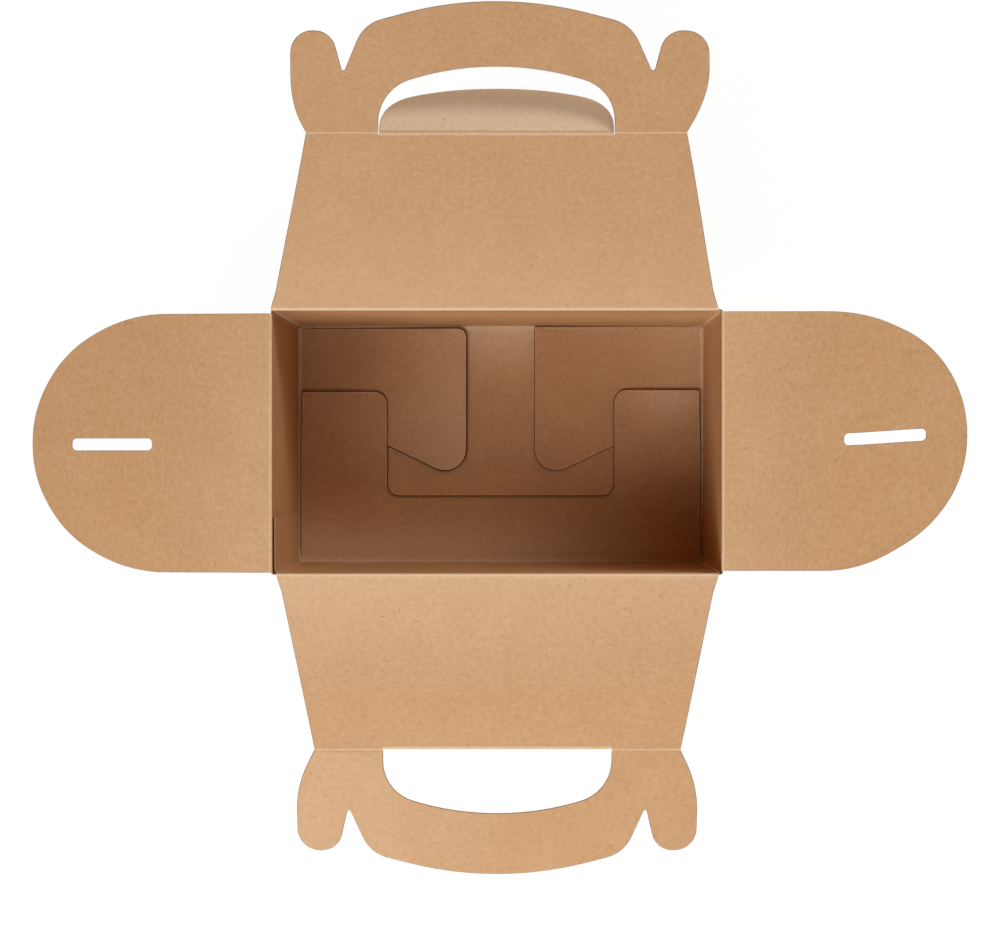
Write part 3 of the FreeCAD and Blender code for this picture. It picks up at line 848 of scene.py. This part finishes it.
# How pale the line of each lid fold is, stretched fibres with a painted highlight; how pale
# its panel is beside it, a painted sheen; and how much more of that sheen there is for each
# metre along the fold.
FOLD_LINE_AND_SHEEN = {
    "left": (0.5, 0.17, 0.0),
    "right": (0.65, 0.17, 0.0),
    "back": (0.95, 0.16, 0.0),
    "front": (0.8, 0.34, 3.0),
}


def fold_sheen(side):
    """Painted sheen on a lid panel at (u, v), palest by its fold and gone 48 mm from it."""
    _, most, lean = FOLD_LINE_AND_SHEEN[side]
    return lambda u, v: most * (1 + lean * u) * (1 - climb(v, -0.012, 0.06, 1.0))


class BottomLie(Lie):
    """How a bottom flap lies: round the fold under its wall, then level at its layer."""

    def __init__(self, wall, along, inward, lift):
        super().__init__(wall, along, inward)
        self.lift = lift
        self.radius = bpy.context.scene.gable_sizes.corner_round

    def at(self, u, d, h):
        """The point at u along the wall, d in from it and h above the outer face."""
        turn = math.pi / 2 * min(1.0, d / self.radius)
        away = self.radius - (self.radius - h) * math.cos(turn) + max(0.0, d - self.radius)
        # a bead 0.3 mm high stands beside the fold
        high = (self.radius - (self.radius - h) * math.sin(turn)
                + 0.0003 * bump(d - 0.0013, 0.0005))
        return (self.origin + self.along * u + self.out * away
                + Vector((0, 0, high + self.lift(u, d))))


# ---- operators: the carton -----------------------------------------------------------


CORNERS = ((1, -1), (1, 1), (-1, 1), (-1, -1))      # of the walls, anticlockwise
CORNER_STEPS = 6            # steps in which the board turns round an upright fold
NICK, NICK_REACH = 0.0014, 0.006    # how far a wall's top dips at a corner, and its run
WEB_STEPS = 5               # steps down a bottom corner's web


def tube_outline():
    """The walls' outline, anticlockwise from above.

    Each entry is a point, its outward normal, how far it swells when its wall bows,
    and how much the board is creased there.
    """
    s, finish = bpy.context.scene.gable_sizes, bpy.context.scene.gable_finish
    round_ = s.corner_round
    half = Vector((s.box_length / 2, s.box_width / 2))
    ring = []
    for k, (sx, sy) in enumerate(CORNERS):
        centre = Vector((sx * (half.x - round_), sy * (half.y - round_)))
        for j in range(CORNER_STEPS + 1):
            turn = math.pi / 2 * (k - 1 + j / CORNER_STEPS)
            normal = Vector((math.cos(turn), math.sin(turn)))
            # the crease is on the middle of the fold, and a step is 0.26 radians
            ring.append((centre + normal * round_, normal, 0.0,
                         bump((j - CORNER_STEPS / 2) * round_ * 0.26,
                              finish.crease_width / 2)))
        # the long walls swell outwards, and the short ones a third as much inwards
        long_wall = k % 2 == 1
        span = 2 * ((half.x if long_wall else half.y) - round_)
        steps = round(span / finish.mesh_step)
        way = Vector((-math.sin(math.pi / 2 * k), math.cos(math.pi / 2 * k)))
        normal = Vector((math.cos(math.pi / 2 * k), math.sin(math.pi / 2 * k)))
        first = ring[-1][0]
        for j in range(1, steps):
            ring.append((first + way * (span * j / steps), normal,
                         math.sin(math.pi * j / steps) * (1 if long_wall else -0.35), 0.0))
    return ring


def corner_web(k, sx, sy):
    """The web that closes a bottom corner, where two walls and two flaps meet.

    Returns its points, their places on the sheet, and its faces.
    """
    s = bpy.context.scene.gable_sizes
    round_ = s.corner_round
    centre = (sx * (s.box_length / 2 - round_), sy * (s.box_width / 2 - round_))
    verts, uvs, faces = [], [], []
    for j in range(CORNER_STEPS + 1):
        turn = math.pi / 2 * (k - 1 + j / CORNER_STEPS)
        for radius in (round_, round_ - s.board):
            for e in range(WEB_STEPS + 1):
                dip = math.radians(86) * e / WEB_STEPS
                away = radius * math.cos(dip)
                verts.append((centre[0] + away * math.cos(turn),
                              centre[1] + away * math.sin(turn),
                              round_ - radius * math.sin(dip)))
                uvs.append((turn * radius, -dip * radius))
    # each step round the corner is a closed ring, down outside and back up inside
    count = 2 * (WEB_STEPS + 1)
    order = list(range(WEB_STEPS + 1)) + list(range(count - 1, WEB_STEPS, -1))
    for j in range(CORNER_STEPS):
        a = [count * j + r for r in order]
        b = [count * (j + 1) + r for r in order]
        faces += [[a[q], a[(q + 1) % count], b[(q + 1) % count], b[q]]
                  for q in range(count)]
    faces.append(order[::-1])
    faces.append([count * CORNER_STEPS + r for r in order])
    return verts, uvs, faces


class GABLEBOX_OT_walls(Operator):
    """Build the four walls as one folded tube, with the glue tab inside"""
    bl_idname = "gablebox.walls"
    bl_label = "Walls"

    def execute(self, context):
        s, pose, finish = (context.scene.gable_sizes, context.scene.gable_pose,
                           context.scene.gable_finish)
        round_, thick, top = s.corner_round, s.board, s.wall_top
        ring = tube_outline()
        columns = len(ring)
        # rows of points stand close together beside the folds at the bottom and top
        near = [0.0002, 0.0006, 0.0012, 0.002, 0.0032]
        clear_of = 0.0052
        middle = np.linspace(round_ + clear_of, top - clear_of,
                             round(top / finish.mesh_step))
        levels = [round_] + [round_ + d for d in near]
        levels += middle.tolist() + [top - d for d in reversed(near)] + [top]
        runs = [0.0]
        for k in range(1, columns):
            runs.append(runs[-1] + (ring[k][0] - ring[k - 1][0]).length)
        verts, uvs, marks, clear = [], [], [], []
        for depth in (0.0, thick):
            for z in levels:
                edge = max(bump(top - z, 0.0005), bump(z - round_, 0.0005))
                for run, (spot, normal, swell, mark) in zip(runs, ring):
                    bow = pose.wall_bow * swell * math.sin(math.pi * z / top)
                    at = spot + normal * (bow - depth)
                    dip = 0.0
                    if swell == 0.0:
                        dip = climb(z, top - NICK_REACH, NICK_REACH, NICK)
                    verts.append((at.x, at.y, z - dip))
                    uvs.append((run, z))
                    marks.append(max(mark, edge * 0.8))
                    clear.append(0.0 if z in (levels[0], levels[-1]) else 1.0)
        rows = len(levels)
        faces, index, sharp = [], [], set()
        inner = rows * columns
        for r in range(rows - 1):
            for k in range(columns):
                a, b = r * columns + k, r * columns + (k + 1) % columns
                c, d = b + columns, a + columns
                faces += [[a, b, c, d], [inner + b, inner + a, inner + d, inner + c]]
                index += [0, 0]
        for r in (0, rows - 1):
            for k in range(columns):
                a, b = r * columns + k, r * columns + (k + 1) % columns
                rim = [a, b, inner + b, inner + a]
                faces.append(rim if r else rim[::-1])
                index.append(1)
                sharp |= {tuple(sorted((a, b))), tuple(sorted((inner + a, inner + b)))}
        for k, (sx, sy) in enumerate(CORNERS):
            web_verts, web_uvs, web_faces = corner_web(k, sx, sy)
            faces += [[len(verts) + r for r in face] for face in web_faces]
            index += [0] * len(web_faces)
            verts += web_verts
            uvs += web_uvs
            marks += [0.7] * len(web_verts)
            clear += [0.0] * len(web_verts)
        walls = add_mesh("walls", verts, faces, [kraft_board(), cut_board()], index, uvs,
                         {CLEAR: clear, CREASE: marks}, sharp)
        ride_with_fibres(walls, "carton", "carton")

        # glue tab: leaves the front wall round a small bend and lies inside the left wall
        lie = Lie((-s.box_length / 2 + thick, -s.box_width / 2 + thick * 0.6, top),
                  (0, 0, -1), (0, 1, 0), 0.0,
                  lambda u, v: (0.00006 + 0.0005 * math.exp(-u / 0.02)
                                + 0.0004 * max(0.0, 1 - v / 0.0015) ** 2, 0.0))
        tab = board_sheet("glue_tab", [[
            (0.0021, 0.0), (0.0862, 0.0), (0.0835, 0.0203, 0.0008),
            (0.0014, 0.0203, 0.0008)]], lie, edge=0.8)
        ride_with_fibres(tab, "carton", seed=1)
        return {"FINISHED"}


class GABLEBOX_OT_bottom(Operator):
    """Build the four bottom flaps, which lock with a tongue"""
    bl_idname = "gablebox.bottom"
    bl_label = "Locked bottom"

    def execute(self, context):
        s, pose = context.scene.gable_sizes, context.scene.gable_pose
        layer, fold = s.board + 0.00005, s.corner_round
        half_x, half_y, width = s.box_length / 2, s.box_width / 2, s.box_width
        mm = 0.001
        # the mesh can bend where each flap turns in under its wall
        rows = [0.5 * mm, 0.8 * mm, 1.1 * mm, 1.4 * mm, 1.8 * mm, 2.4 * mm]

        def swell(x, y):
            """The locked bottom bows upwards between its folds."""
            return (pose.bottom_bow * max(0.0, 1 - (x / half_x) ** 2)
                    * max(0.0, 1 - (y / half_y) ** 2))

        def fold_mark(d):
            return bump(d - fold - 0.2 * mm, 0.0007)

        def flap(name, outline, lie, mark, seed, slant=1.7):
            # each flap has a pale band beside its cuts, crushed fibres with a painted
            # highlight, and its cut edges darkened as a painted shade of the gaps between
            # the layers
            sheet = board_sheet(name, [outline], lie, crease=mark, edge=0.6, rows=rows,
                                slant=slant, dark=0.9)
            ride_with_fibres(sheet, "carton", seed=seed)

        # back flap: lies lowest, and its tongue climbs over the front flap
        lie = BottomLie((0, half_y, 0), (-1, 0, 0), (0, -1, 0), lambda u, d: (
            swell(u, half_y - d) + climb(d, 57.5 * mm, 4.3 * mm, layer * 3)
            + climb(d, 59 * mm, 8 * mm, 0.8 * mm)))
        # its middle by the back wall is painted paler, a painted sheen
        flap("back_bottom_flap", mirrored([
            (78.3 * mm, 0), (78.3 * mm, 2 * mm), (73 * mm, 2.2 * mm), (73 * mm, 20 * mm),
            (46 * mm, 40 * mm), (46 * mm, 57.4 * mm), (43.9 * mm, 57.8 * mm),
            (43.9 * mm, 66.7 * mm, 4.7 * mm)]), lie,
            lambda u, d: max(fold_mark(d) * (1 if abs(u) < 24 * mm else 0.3),
                             0.8 * bump(u, 24 * mm) * bump(d, 16 * mm)), 2)

        # side flaps: one layer up, each with its point lying free on the tongue's root;
        # they differ in a corner's radius, in reach, in lift and in how their edge runs out
        for side, x, upper, reach, lift, slant in (
                ("left", -1, 3.6, 45.2, 1.4 * mm, 2.2),
                ("right", 1, 0.8, 45.7, 0.7 * mm, 1.2)):
            lie = BottomLie((x * half_x, 0, 0), (0, x, 0), (-x, 0, 0),
                            lambda u, d, x=x, lift=lift: (
                                swell(half_x - d, x * u) + climb(d, 0.0, 4 * mm, layer)
                                + lift * max(0.0, d / (66 * mm)) ** 2))
            ends = [(45.7, 0), (45.7, 2), (reach, 2.3), (reach, 66.2, upper),
                    (-15.45, 66.2, 8.5), (-0.65, 35.1, 2), (-32.95, 2.3), (-45.6, 2.2),
                    (-45.6, 0)]
            outline = [tuple(value * mm for value in corner) for corner in ends]
            if x < 0:
                outline = flipped(outline)
            # each side flap has a painted sheen: the left one palest at its point, the
            # right one by its fold
            pale_at = 66 * mm if x < 0 else 0.0
            flap(side + "_bottom_flap", outline[::-1], lie, lambda u, d, at=pale_at: max(
                fold_mark(d), 0.3 * bump(d - at, 24 * mm)), 3 + x, slant)

        # front flap: two layers up, with the recess that the tongue drops into
        lie = BottomLie((0, -half_y, 0), (1, 0, 0), (0, 1, 0), lambda u, d: (
            swell(u, d - half_y) + climb(d, 0.0, 7 * mm, layer * 2)
            + 1.3 * mm * max(0.0, (d - 26 * mm) / (41 * mm)) ** 2))
        outline = mirrored([
            (78.3 * mm, 0), (78.3 * mm, 1.6 * mm), (77.7 * mm, 2 * mm),
            (77.7 * mm, 45 * mm), (77.2 * mm, width - 26 * mm, 1.2 * mm),
            (43.7 * mm, width - 26 * mm, 5.2 * mm), (43.7 * mm, width - 62 * mm)])
        # its right shoulder reaches a little further
        for k in (4, 5):
            x, d, radius = outline[k]
            outline[k] = (x, d + 0.7 * mm, radius)
        # it is painted paler along its fold and on its right shoulder, a painted sheen
        flap("front_bottom_flap", outline, lie, lambda u, d: max(
            fold_mark(d), 0.55 * bump(d, 14 * mm),
            0.55 * bump(u - 66 * mm, 14 * mm) * bump(d - 67 * mm, 12 * mm)), 6)
        return {"FINISHED"}


# ---- operators: the lid --------------------------------------------------------------


ROOT = 0.00022              # a lid sheet starts this far from its hinge line
FLARE = 0.0007              # a roof panel widens this much at each end of its fold,
FLARE_REACH = 0.006         # over this much of its reach,
FLARE_IN = 0.0012           # past which it has narrowed by this much


class GABLEBOX_OT_side_flaps(Operator):
    """Build the two side flaps, rounded at the end and slotted for the handles' ears"""
    bl_idname = "gablebox.side_flaps"
    bl_label = "Side flaps"

    def execute(self, context):
        s = context.scene.gable_sizes
        half, reach = s.flap_width / 2, s.flap_reach
        # the end is an arc, drawn as corners on its tangents that are then rounded; it is
        # a little smaller than the flap's half width, so each side meets it at a shoulder
        radius = half - 0.0012
        centre = reach - radius
        turn = math.radians(30)
        first = centre + (radius - half * math.cos(turn)) / math.sin(turn)
        diagonal = radius * math.sqrt(0.5) / math.cos(turn / 2)
        w, low, high = s.slot_width / 2, s.slot_start, s.slot_start + s.slot_reach
        # each slot is cut a hair off the middle, and the right flap's shoulders lower
        for side, seed, off, low_by in (("left", 10, -0.00044, 0.0),
                                        ("right", 12, -0.0004, 0.0025)):
            outline = mirrored([
                (half, ROOT), (half, first - low_by, half * 1.1),
                (diagonal, centre + diagonal, radius * 0.95),
                (radius * math.tan(turn / 2), reach, radius * 0.95)])
            slot = [(off + w, low, s.slot_round), (off + w, high, s.slot_round),
                    (off - w, high, s.slot_round), (off - w, low, s.slot_round)]
            flap = board_sheet(side + "_flap", [outline, slot], lid_lie(side), fold_sheen(side))
            ride_with_fibres(flap, side + "_side_flap", side + "_side_flap", seed)
        return {"FINISHED"}


def roof_halves(side):
    """Half widths of a roof panel at fold and crest; the front one is trimmed a little."""
    s = bpy.context.scene.gable_sizes
    trim = 0.0009 if side == "front" else 0.0
    return s.roof_fold_width / 2 - trim, s.roof_crest_width / 2 - trim * 0.5


class GABLEBOX_OT_roof_panels(Operator):
    """Build the two sloping roof panels"""
    bl_idname = "gablebox.roof_panels"
    bl_label = "Roof panels"

    def execute(self, context):
        s = context.scene.gable_sizes
        crest = s.roof_reach - ROOT
        cut = s.hole_width / 2
        for side, seed in (("back", 14), ("front", 16)):
            foot, head = roof_halves(side)
            outline = mirrored([
                (foot + FLARE, ROOT), (foot - FLARE_IN, FLARE_REACH, 0.02), (head, crest),
                (cut, crest), (cut, crest - s.tab_inset)])
            roof = board_sheet(side + "_roof", [outline], lid_lie(side), fold_sheen(side))
            ride_with_fibres(roof, side + "_roof_panel", side + "_roof_panel", seed)
        return {"FINISHED"}


HOLE_CROWN = (0.0085, 0.015)        # drop and corner radius of the hand hole's crown


def crowned_edge(half, rise, drop, radius):
    """Right half of a softly crowned edge: its rounded corner, then points up to its top.

    The crown is an arc that would drop by this much from its top at rise to the corner.
    """
    large = (half ** 2 + drop ** 2) / (2 * drop)
    crown = [(x, rise - large + math.sqrt(large ** 2 - x ** 2))
             for x in (0.7 * half * (1 - k / 12) for k in range(13))]
    x, y = crown[0]
    slope = x / math.sqrt(large ** 2 - x ** 2)
    return [(half, y - slope * (half - x), radius)] + crown


class GABLEBOX_OT_handles(Operator):
    """Build the two handles, each an arch round its hand hole with an ear at each end"""
    bl_idname = "gablebox.handles"
    bl_label = "Handles"

    def execute(self, context):
        s = context.scene.gable_sizes
        mm = 0.001
        half_hole = s.hole_width / 2
        ear, notch = s.ear_span / 2, s.notch_span / 2
        wide = ear - notch
        # the back handle was cut a little shorter than the front one, with fuller ears
        for side, short, knee, seed in (("back", 2 * mm, 0.3, 18),
                                        ("front", 0.0, 0.37, 20)):
            tip = s.ear_rise - short
            right = [
                (roof_halves(side)[1], ROOT),
                (ear + short * 0.15, s.ear_rise * knee, ear * 0.53),
                (ear - 0.5 * mm, tip, wide * 0.43), (notch + wide * 0.2, tip, wide * 0.4),
                (notch, s.notch_rise - short * 0.4, s.board * 1.5)]
            top = crowned_edge(s.handle_top_width / 2, s.handle_rise - short * 0.45,
                               8.4 * mm, 13 * mm)
            hole = crowned_edge(half_hole, s.hole_rise - short * 0.35, *HOLE_CROWN)
            arch = (right + top + flipped(top[:-1]) + flipped(right) + [(-half_hole, ROOT)]
                    + (hole + flipped(hole[:-1]))[::-1] + [(half_hole, ROOT)])
            outline = [(corner[0], corner[1] + s.roof_reach) + tuple(corner[2:])
                       for corner in arch]
            # the front handle is painted a little paler towards one end, a painted sheen
            handle_sheen = 0.2 if side == "front" else 0.0
            handle = board_sheet(
                side + "_handle_arch", [outline], lid_lie(side),
                crease=lambda u, v, most=handle_sheen: climb(u, -12 * mm, 70 * mm, most))
            ride_with_fibres(handle, side + "_handle", side + "_handle", seed)
        return {"FINISHED"}


class GABLEBOX_OT_tabs(Operator):
    """Build the two tabs cut from the hand holes, folded down under the handles"""
    bl_idname = "gablebox.tabs"
    bl_label = "Hand-hole tabs"

    def execute(self, context):
        s = context.scene.gable_sizes
        mm = 0.001
        half = s.hole_width / 2 - 0.2 * mm
        for side, short, seed in (("back", 0.4 * mm, 22), ("front", 0.0, 24)):
            edge = crowned_edge(half, s.hole_rise + s.tab_inset - 0.6 * mm - short,
                                *HOLE_CROWN)
            # its face is painted paler than the lid's, most so by its fold, a painted sheen
            outline = [(half, ROOT)] + edge + flipped(edge[:-1]) + [(-half, ROOT)]
            tab = board_sheet(side + "_tab", [outline], tab_lie(side),
                              crease=lambda u, v: 0.42 + 0.55 * bump(v, 13 * mm))
            ride_with_fibres(tab, side + "_hand_hole_tab", side + "_hand_hole_tab", seed)
        return {"FINISHED"}


class GABLEBOX_OT_creases(Operator):
    """Build the creases that join the lid's pieces"""
    bl_idname = "gablebox.creases"
    bl_label = "Creases"

    def execute(self, context):
        s, pose = context.scene.gable_sizes, context.scene.gable_pose
        upright = math.pi / 2
        hole = s.hole_width / 2
        # how far each crease sleeves its first body and its second
        wall_legs, crest_legs, tab_legs = ((0.0009, 0.0018), (0.0011, 0.0011),
                                           (0.0009, 0.0009))
        for side, slope in (("left", pose.left_slope), ("right", pose.right_slope)):
            line, beside, _ = FOLD_LINE_AND_SHEEN[side]
            half = s.flap_width / 2
            crease(side + "_flap_crease", lid_lie(side), -half, half, upright - slope,
                   wall_legs, "carton", side + "_side_flap", strength=line, beside=beside)
        for side, slope, drop in (("back", pose.back_slope, pose.back_tab_drop),
                                  ("front", pose.front_slope, pose.front_tab_drop)):
            line, beside, _ = FOLD_LINE_AND_SHEEN[side]
            foot, head = roof_halves(side)
            lie = lid_lie(side)
            crease(side + "_roof_crease", lie, -foot - FLARE, foot + FLARE, upright - slope,
                   wall_legs, "carton", side + "_roof_panel",
                   (FLARE + FLARE_IN) / FLARE_REACH, line, beside)
            crest = beyond(lie, s.roof_reach)
            for end, first, last in (("a", -head, -hole), ("b", hole, head)):
                crease(f"{side}_handle_crease_{end}", crest, first, last, 0.0, crest_legs,
                       side + "_roof_panel", side + "_handle", strength=0.7)
            cut = 0.0003            # the tab's crease stops this far from the cuts
            crease(side + "_tab_crease", tab_lie(side), -hole + cut, hole - cut, drop,
                   tab_legs, side + "_roof_panel", side + "_hand_hole_tab", strength=0.6)
        return {"FINISHED"}


# ---- operators: the stage ------------------------------------------------------------


def studio_lamp(name, bearing, height, power, away=1.2, size=0.45):
    """A soft square lamp, away from the box and aimed at it.

    bearing turns from the box's right towards its back; height is up from level.
    """
    bearing, height = math.radians(bearing), math.radians(height)
    level = math.cos(height)
    way = Vector((level * math.cos(bearing), level * math.sin(bearing), math.sin(height)))
    data = bpy.data.lights.new(name, "AREA")
    data.size, data.energy = size, power
    lamp = bpy.data.objects.new(name, data)
    lamp.location = Vector((0, 0, 0.08)) + way * away
    lamp.rotation_euler = (-way).to_track_quat("-Z", "Y").to_euler()
    lamp.visible_camera = False
    bpy.context.scene.collection.objects.link(lamp)


# Lamps of the stage: bearing and height in degrees and power in watts; the last is
# nearer and smaller than the rest, with its distance and size in metres.
LAMPS = (
    ("low_back_lamp", 90, 14, 3.2),
    ("back_right_lamp", 45, 35, 5.3),
    ("front_left_lamp", 225, 35, 4.05),
    ("front_lamp", 270, 35, 5.5),
    ("high_front_left_lamp", 225, 58, 2.4),
    ("high_back_right_lamp", 45, 58, 1.0),
    ("near_front_lamp", 270, 55, 0.87, 0.7, 0.3),
)


def white_to_camera(tree, lit, white, share):
    """Mix two shaders so that only the camera sees the white one, as this share."""
    path = node(tree, "ShaderNodeLightPath")
    factor = product(tree, path.outputs["Is Camera Ray"], share)
    return node(tree, "ShaderNodeMixShader", {0: factor, 1: lit, 2: white})


class GABLEBOX_OT_stage(Operator):
    """Build the floor, the sky, the lamps and the camera"""
    bl_idname = "gablebox.stage"
    bl_label = "Stage"

    def execute(self, context):
        stage = context.scene.gable_stage
        mesh = bpy.data.meshes.new("floor")
        reach, level = 3.0, -0.0002
        mesh.from_pydata([(x * reach, y * reach, level) for x, y in
                          ((-1, -1), (1, -1), (1, 1), (-1, 1))], [], [(0, 1, 2, 3)])
        floor = bpy.data.objects.new("floor", mesh)
        context.scene.collection.objects.link(floor)
        paint = bpy.data.materials.new("matt white floor")
        paint.use_nodes = True
        tree = paint.node_tree
        tree.nodes.clear()
        # the camera sees nine parts of white to one of matt floor, which keeps the shadow
        matt = node(tree, "ShaderNodeBsdfDiffuse", {0: (*stage.floor, 1.0)})
        white = node(tree, "ShaderNodeEmission", {0: (1, 1, 1, 1), 1: 1.057})
        mixed = white_to_camera(tree, matt, white, 0.9)
        node(tree, "ShaderNodeOutputMaterial", {0: mixed})
        mesh.materials.append(paint)

        world = bpy.data.worlds.new("studio")
        context.scene.world = world
        world.use_nodes = True
        tree = world.node_tree
        tree.nodes.clear()
        even = node(tree, "ShaderNodeBackground", {0: (1, 1, 1, 1), 1: stage.sky})
        white = node(tree, "ShaderNodeBackground", {0: (1, 1, 1, 1), 1: 1.0})
        mixed = white_to_camera(tree, even, white, 1.0)
        node(tree, "ShaderNodeOutputWorld", {0: mixed})

        for lamp in LAMPS:
            studio_lamp(*lamp)

        # the camera looks straight down from about 0.9 m, over the middle of the box
        data = bpy.data.cameras.new("camera")
        data.lens = stage.lens
        data.sensor_width = 36.0
        data.shift_x, data.shift_y = -0.036, -0.0045
        data.clip_start, data.clip_end = 0.01, 20.0
        camera = bpy.data.objects.new("camera", data)
        camera.location = (0.01369, -0.00808, 0.89474)
        context.scene.collection.objects.link(camera)
        context.scene.camera = camera
        context.scene.view_settings.view_transform = "Standard"
        return {"FINISHED"}


# ---- the add-on's panel, its registration and the run --------------------------------


class GABLEBOX_PT_panel(Panel):
    """Lists the gable box's pieces in the 3D view's sidebar"""
    bl_idname = "GABLEBOX_PT_panel"
    bl_label = "Gable Box"
    bl_space_type = "VIEW_3D"
    bl_region_type = "UI"
    bl_category = "Gable Box"

    def draw(self, context):
        for group in ("gable_sizes", "gable_pose", "gable_finish", "gable_stage"):
            settings = getattr(context.scene, group)
            for key in settings.bl_rna.properties.keys():
                if key not in ("rna_type", "name"):
                    self.layout.prop(settings, key)
        for operator in OPERATORS:
            self.layout.operator(operator.bl_idname)


GROUPS = {
    "gable_sizes": GableBoxSizes,
    "gable_pose": GableBoxPose,
    "gable_finish": GableBoxFinish,
    "gable_stage": GableBoxStage,
}
OPERATORS = (
    GABLEBOX_OT_walls,
    GABLEBOX_OT_bottom,
    GABLEBOX_OT_side_flaps,
    GABLEBOX_OT_roof_panels,
    GABLEBOX_OT_handles,
    GABLEBOX_OT_tabs,
    GABLEBOX_OT_creases,
    GABLEBOX_OT_stage,
)


def register():
    """Register the settings, the operators and the panel."""
    for key, group in GROUPS.items():
        bpy.utils.register_class(group)
        setattr(bpy.types.Scene, key, PointerProperty(type=group))
    for operator in OPERATORS:
        bpy.utils.register_class(operator)
    bpy.utils.register_class(GABLEBOX_PT_panel)


def unregister():
    """Undo register."""
    bpy.utils.unregister_class(GABLEBOX_PT_panel)
    for operator in reversed(OPERATORS):
        bpy.utils.unregister_class(operator)
    for key, group in reversed(GROUPS.items()):
        delattr(bpy.types.Scene, key)
        bpy.utils.unregister_class(group)


def main():
    """Build the box piece by piece."""
    register()
    bpy.ops.gablebox.walls()
    bpy.ops.gablebox.bottom()
    bpy.ops.gablebox.side_flaps()
    bpy.ops.gablebox.roof_panels()
    bpy.ops.gablebox.handles()
    bpy.ops.gablebox.tabs()
    bpy.ops.gablebox.creases()
    bpy.ops.gablebox.stage()


if __name__ == "__main__":
    main()
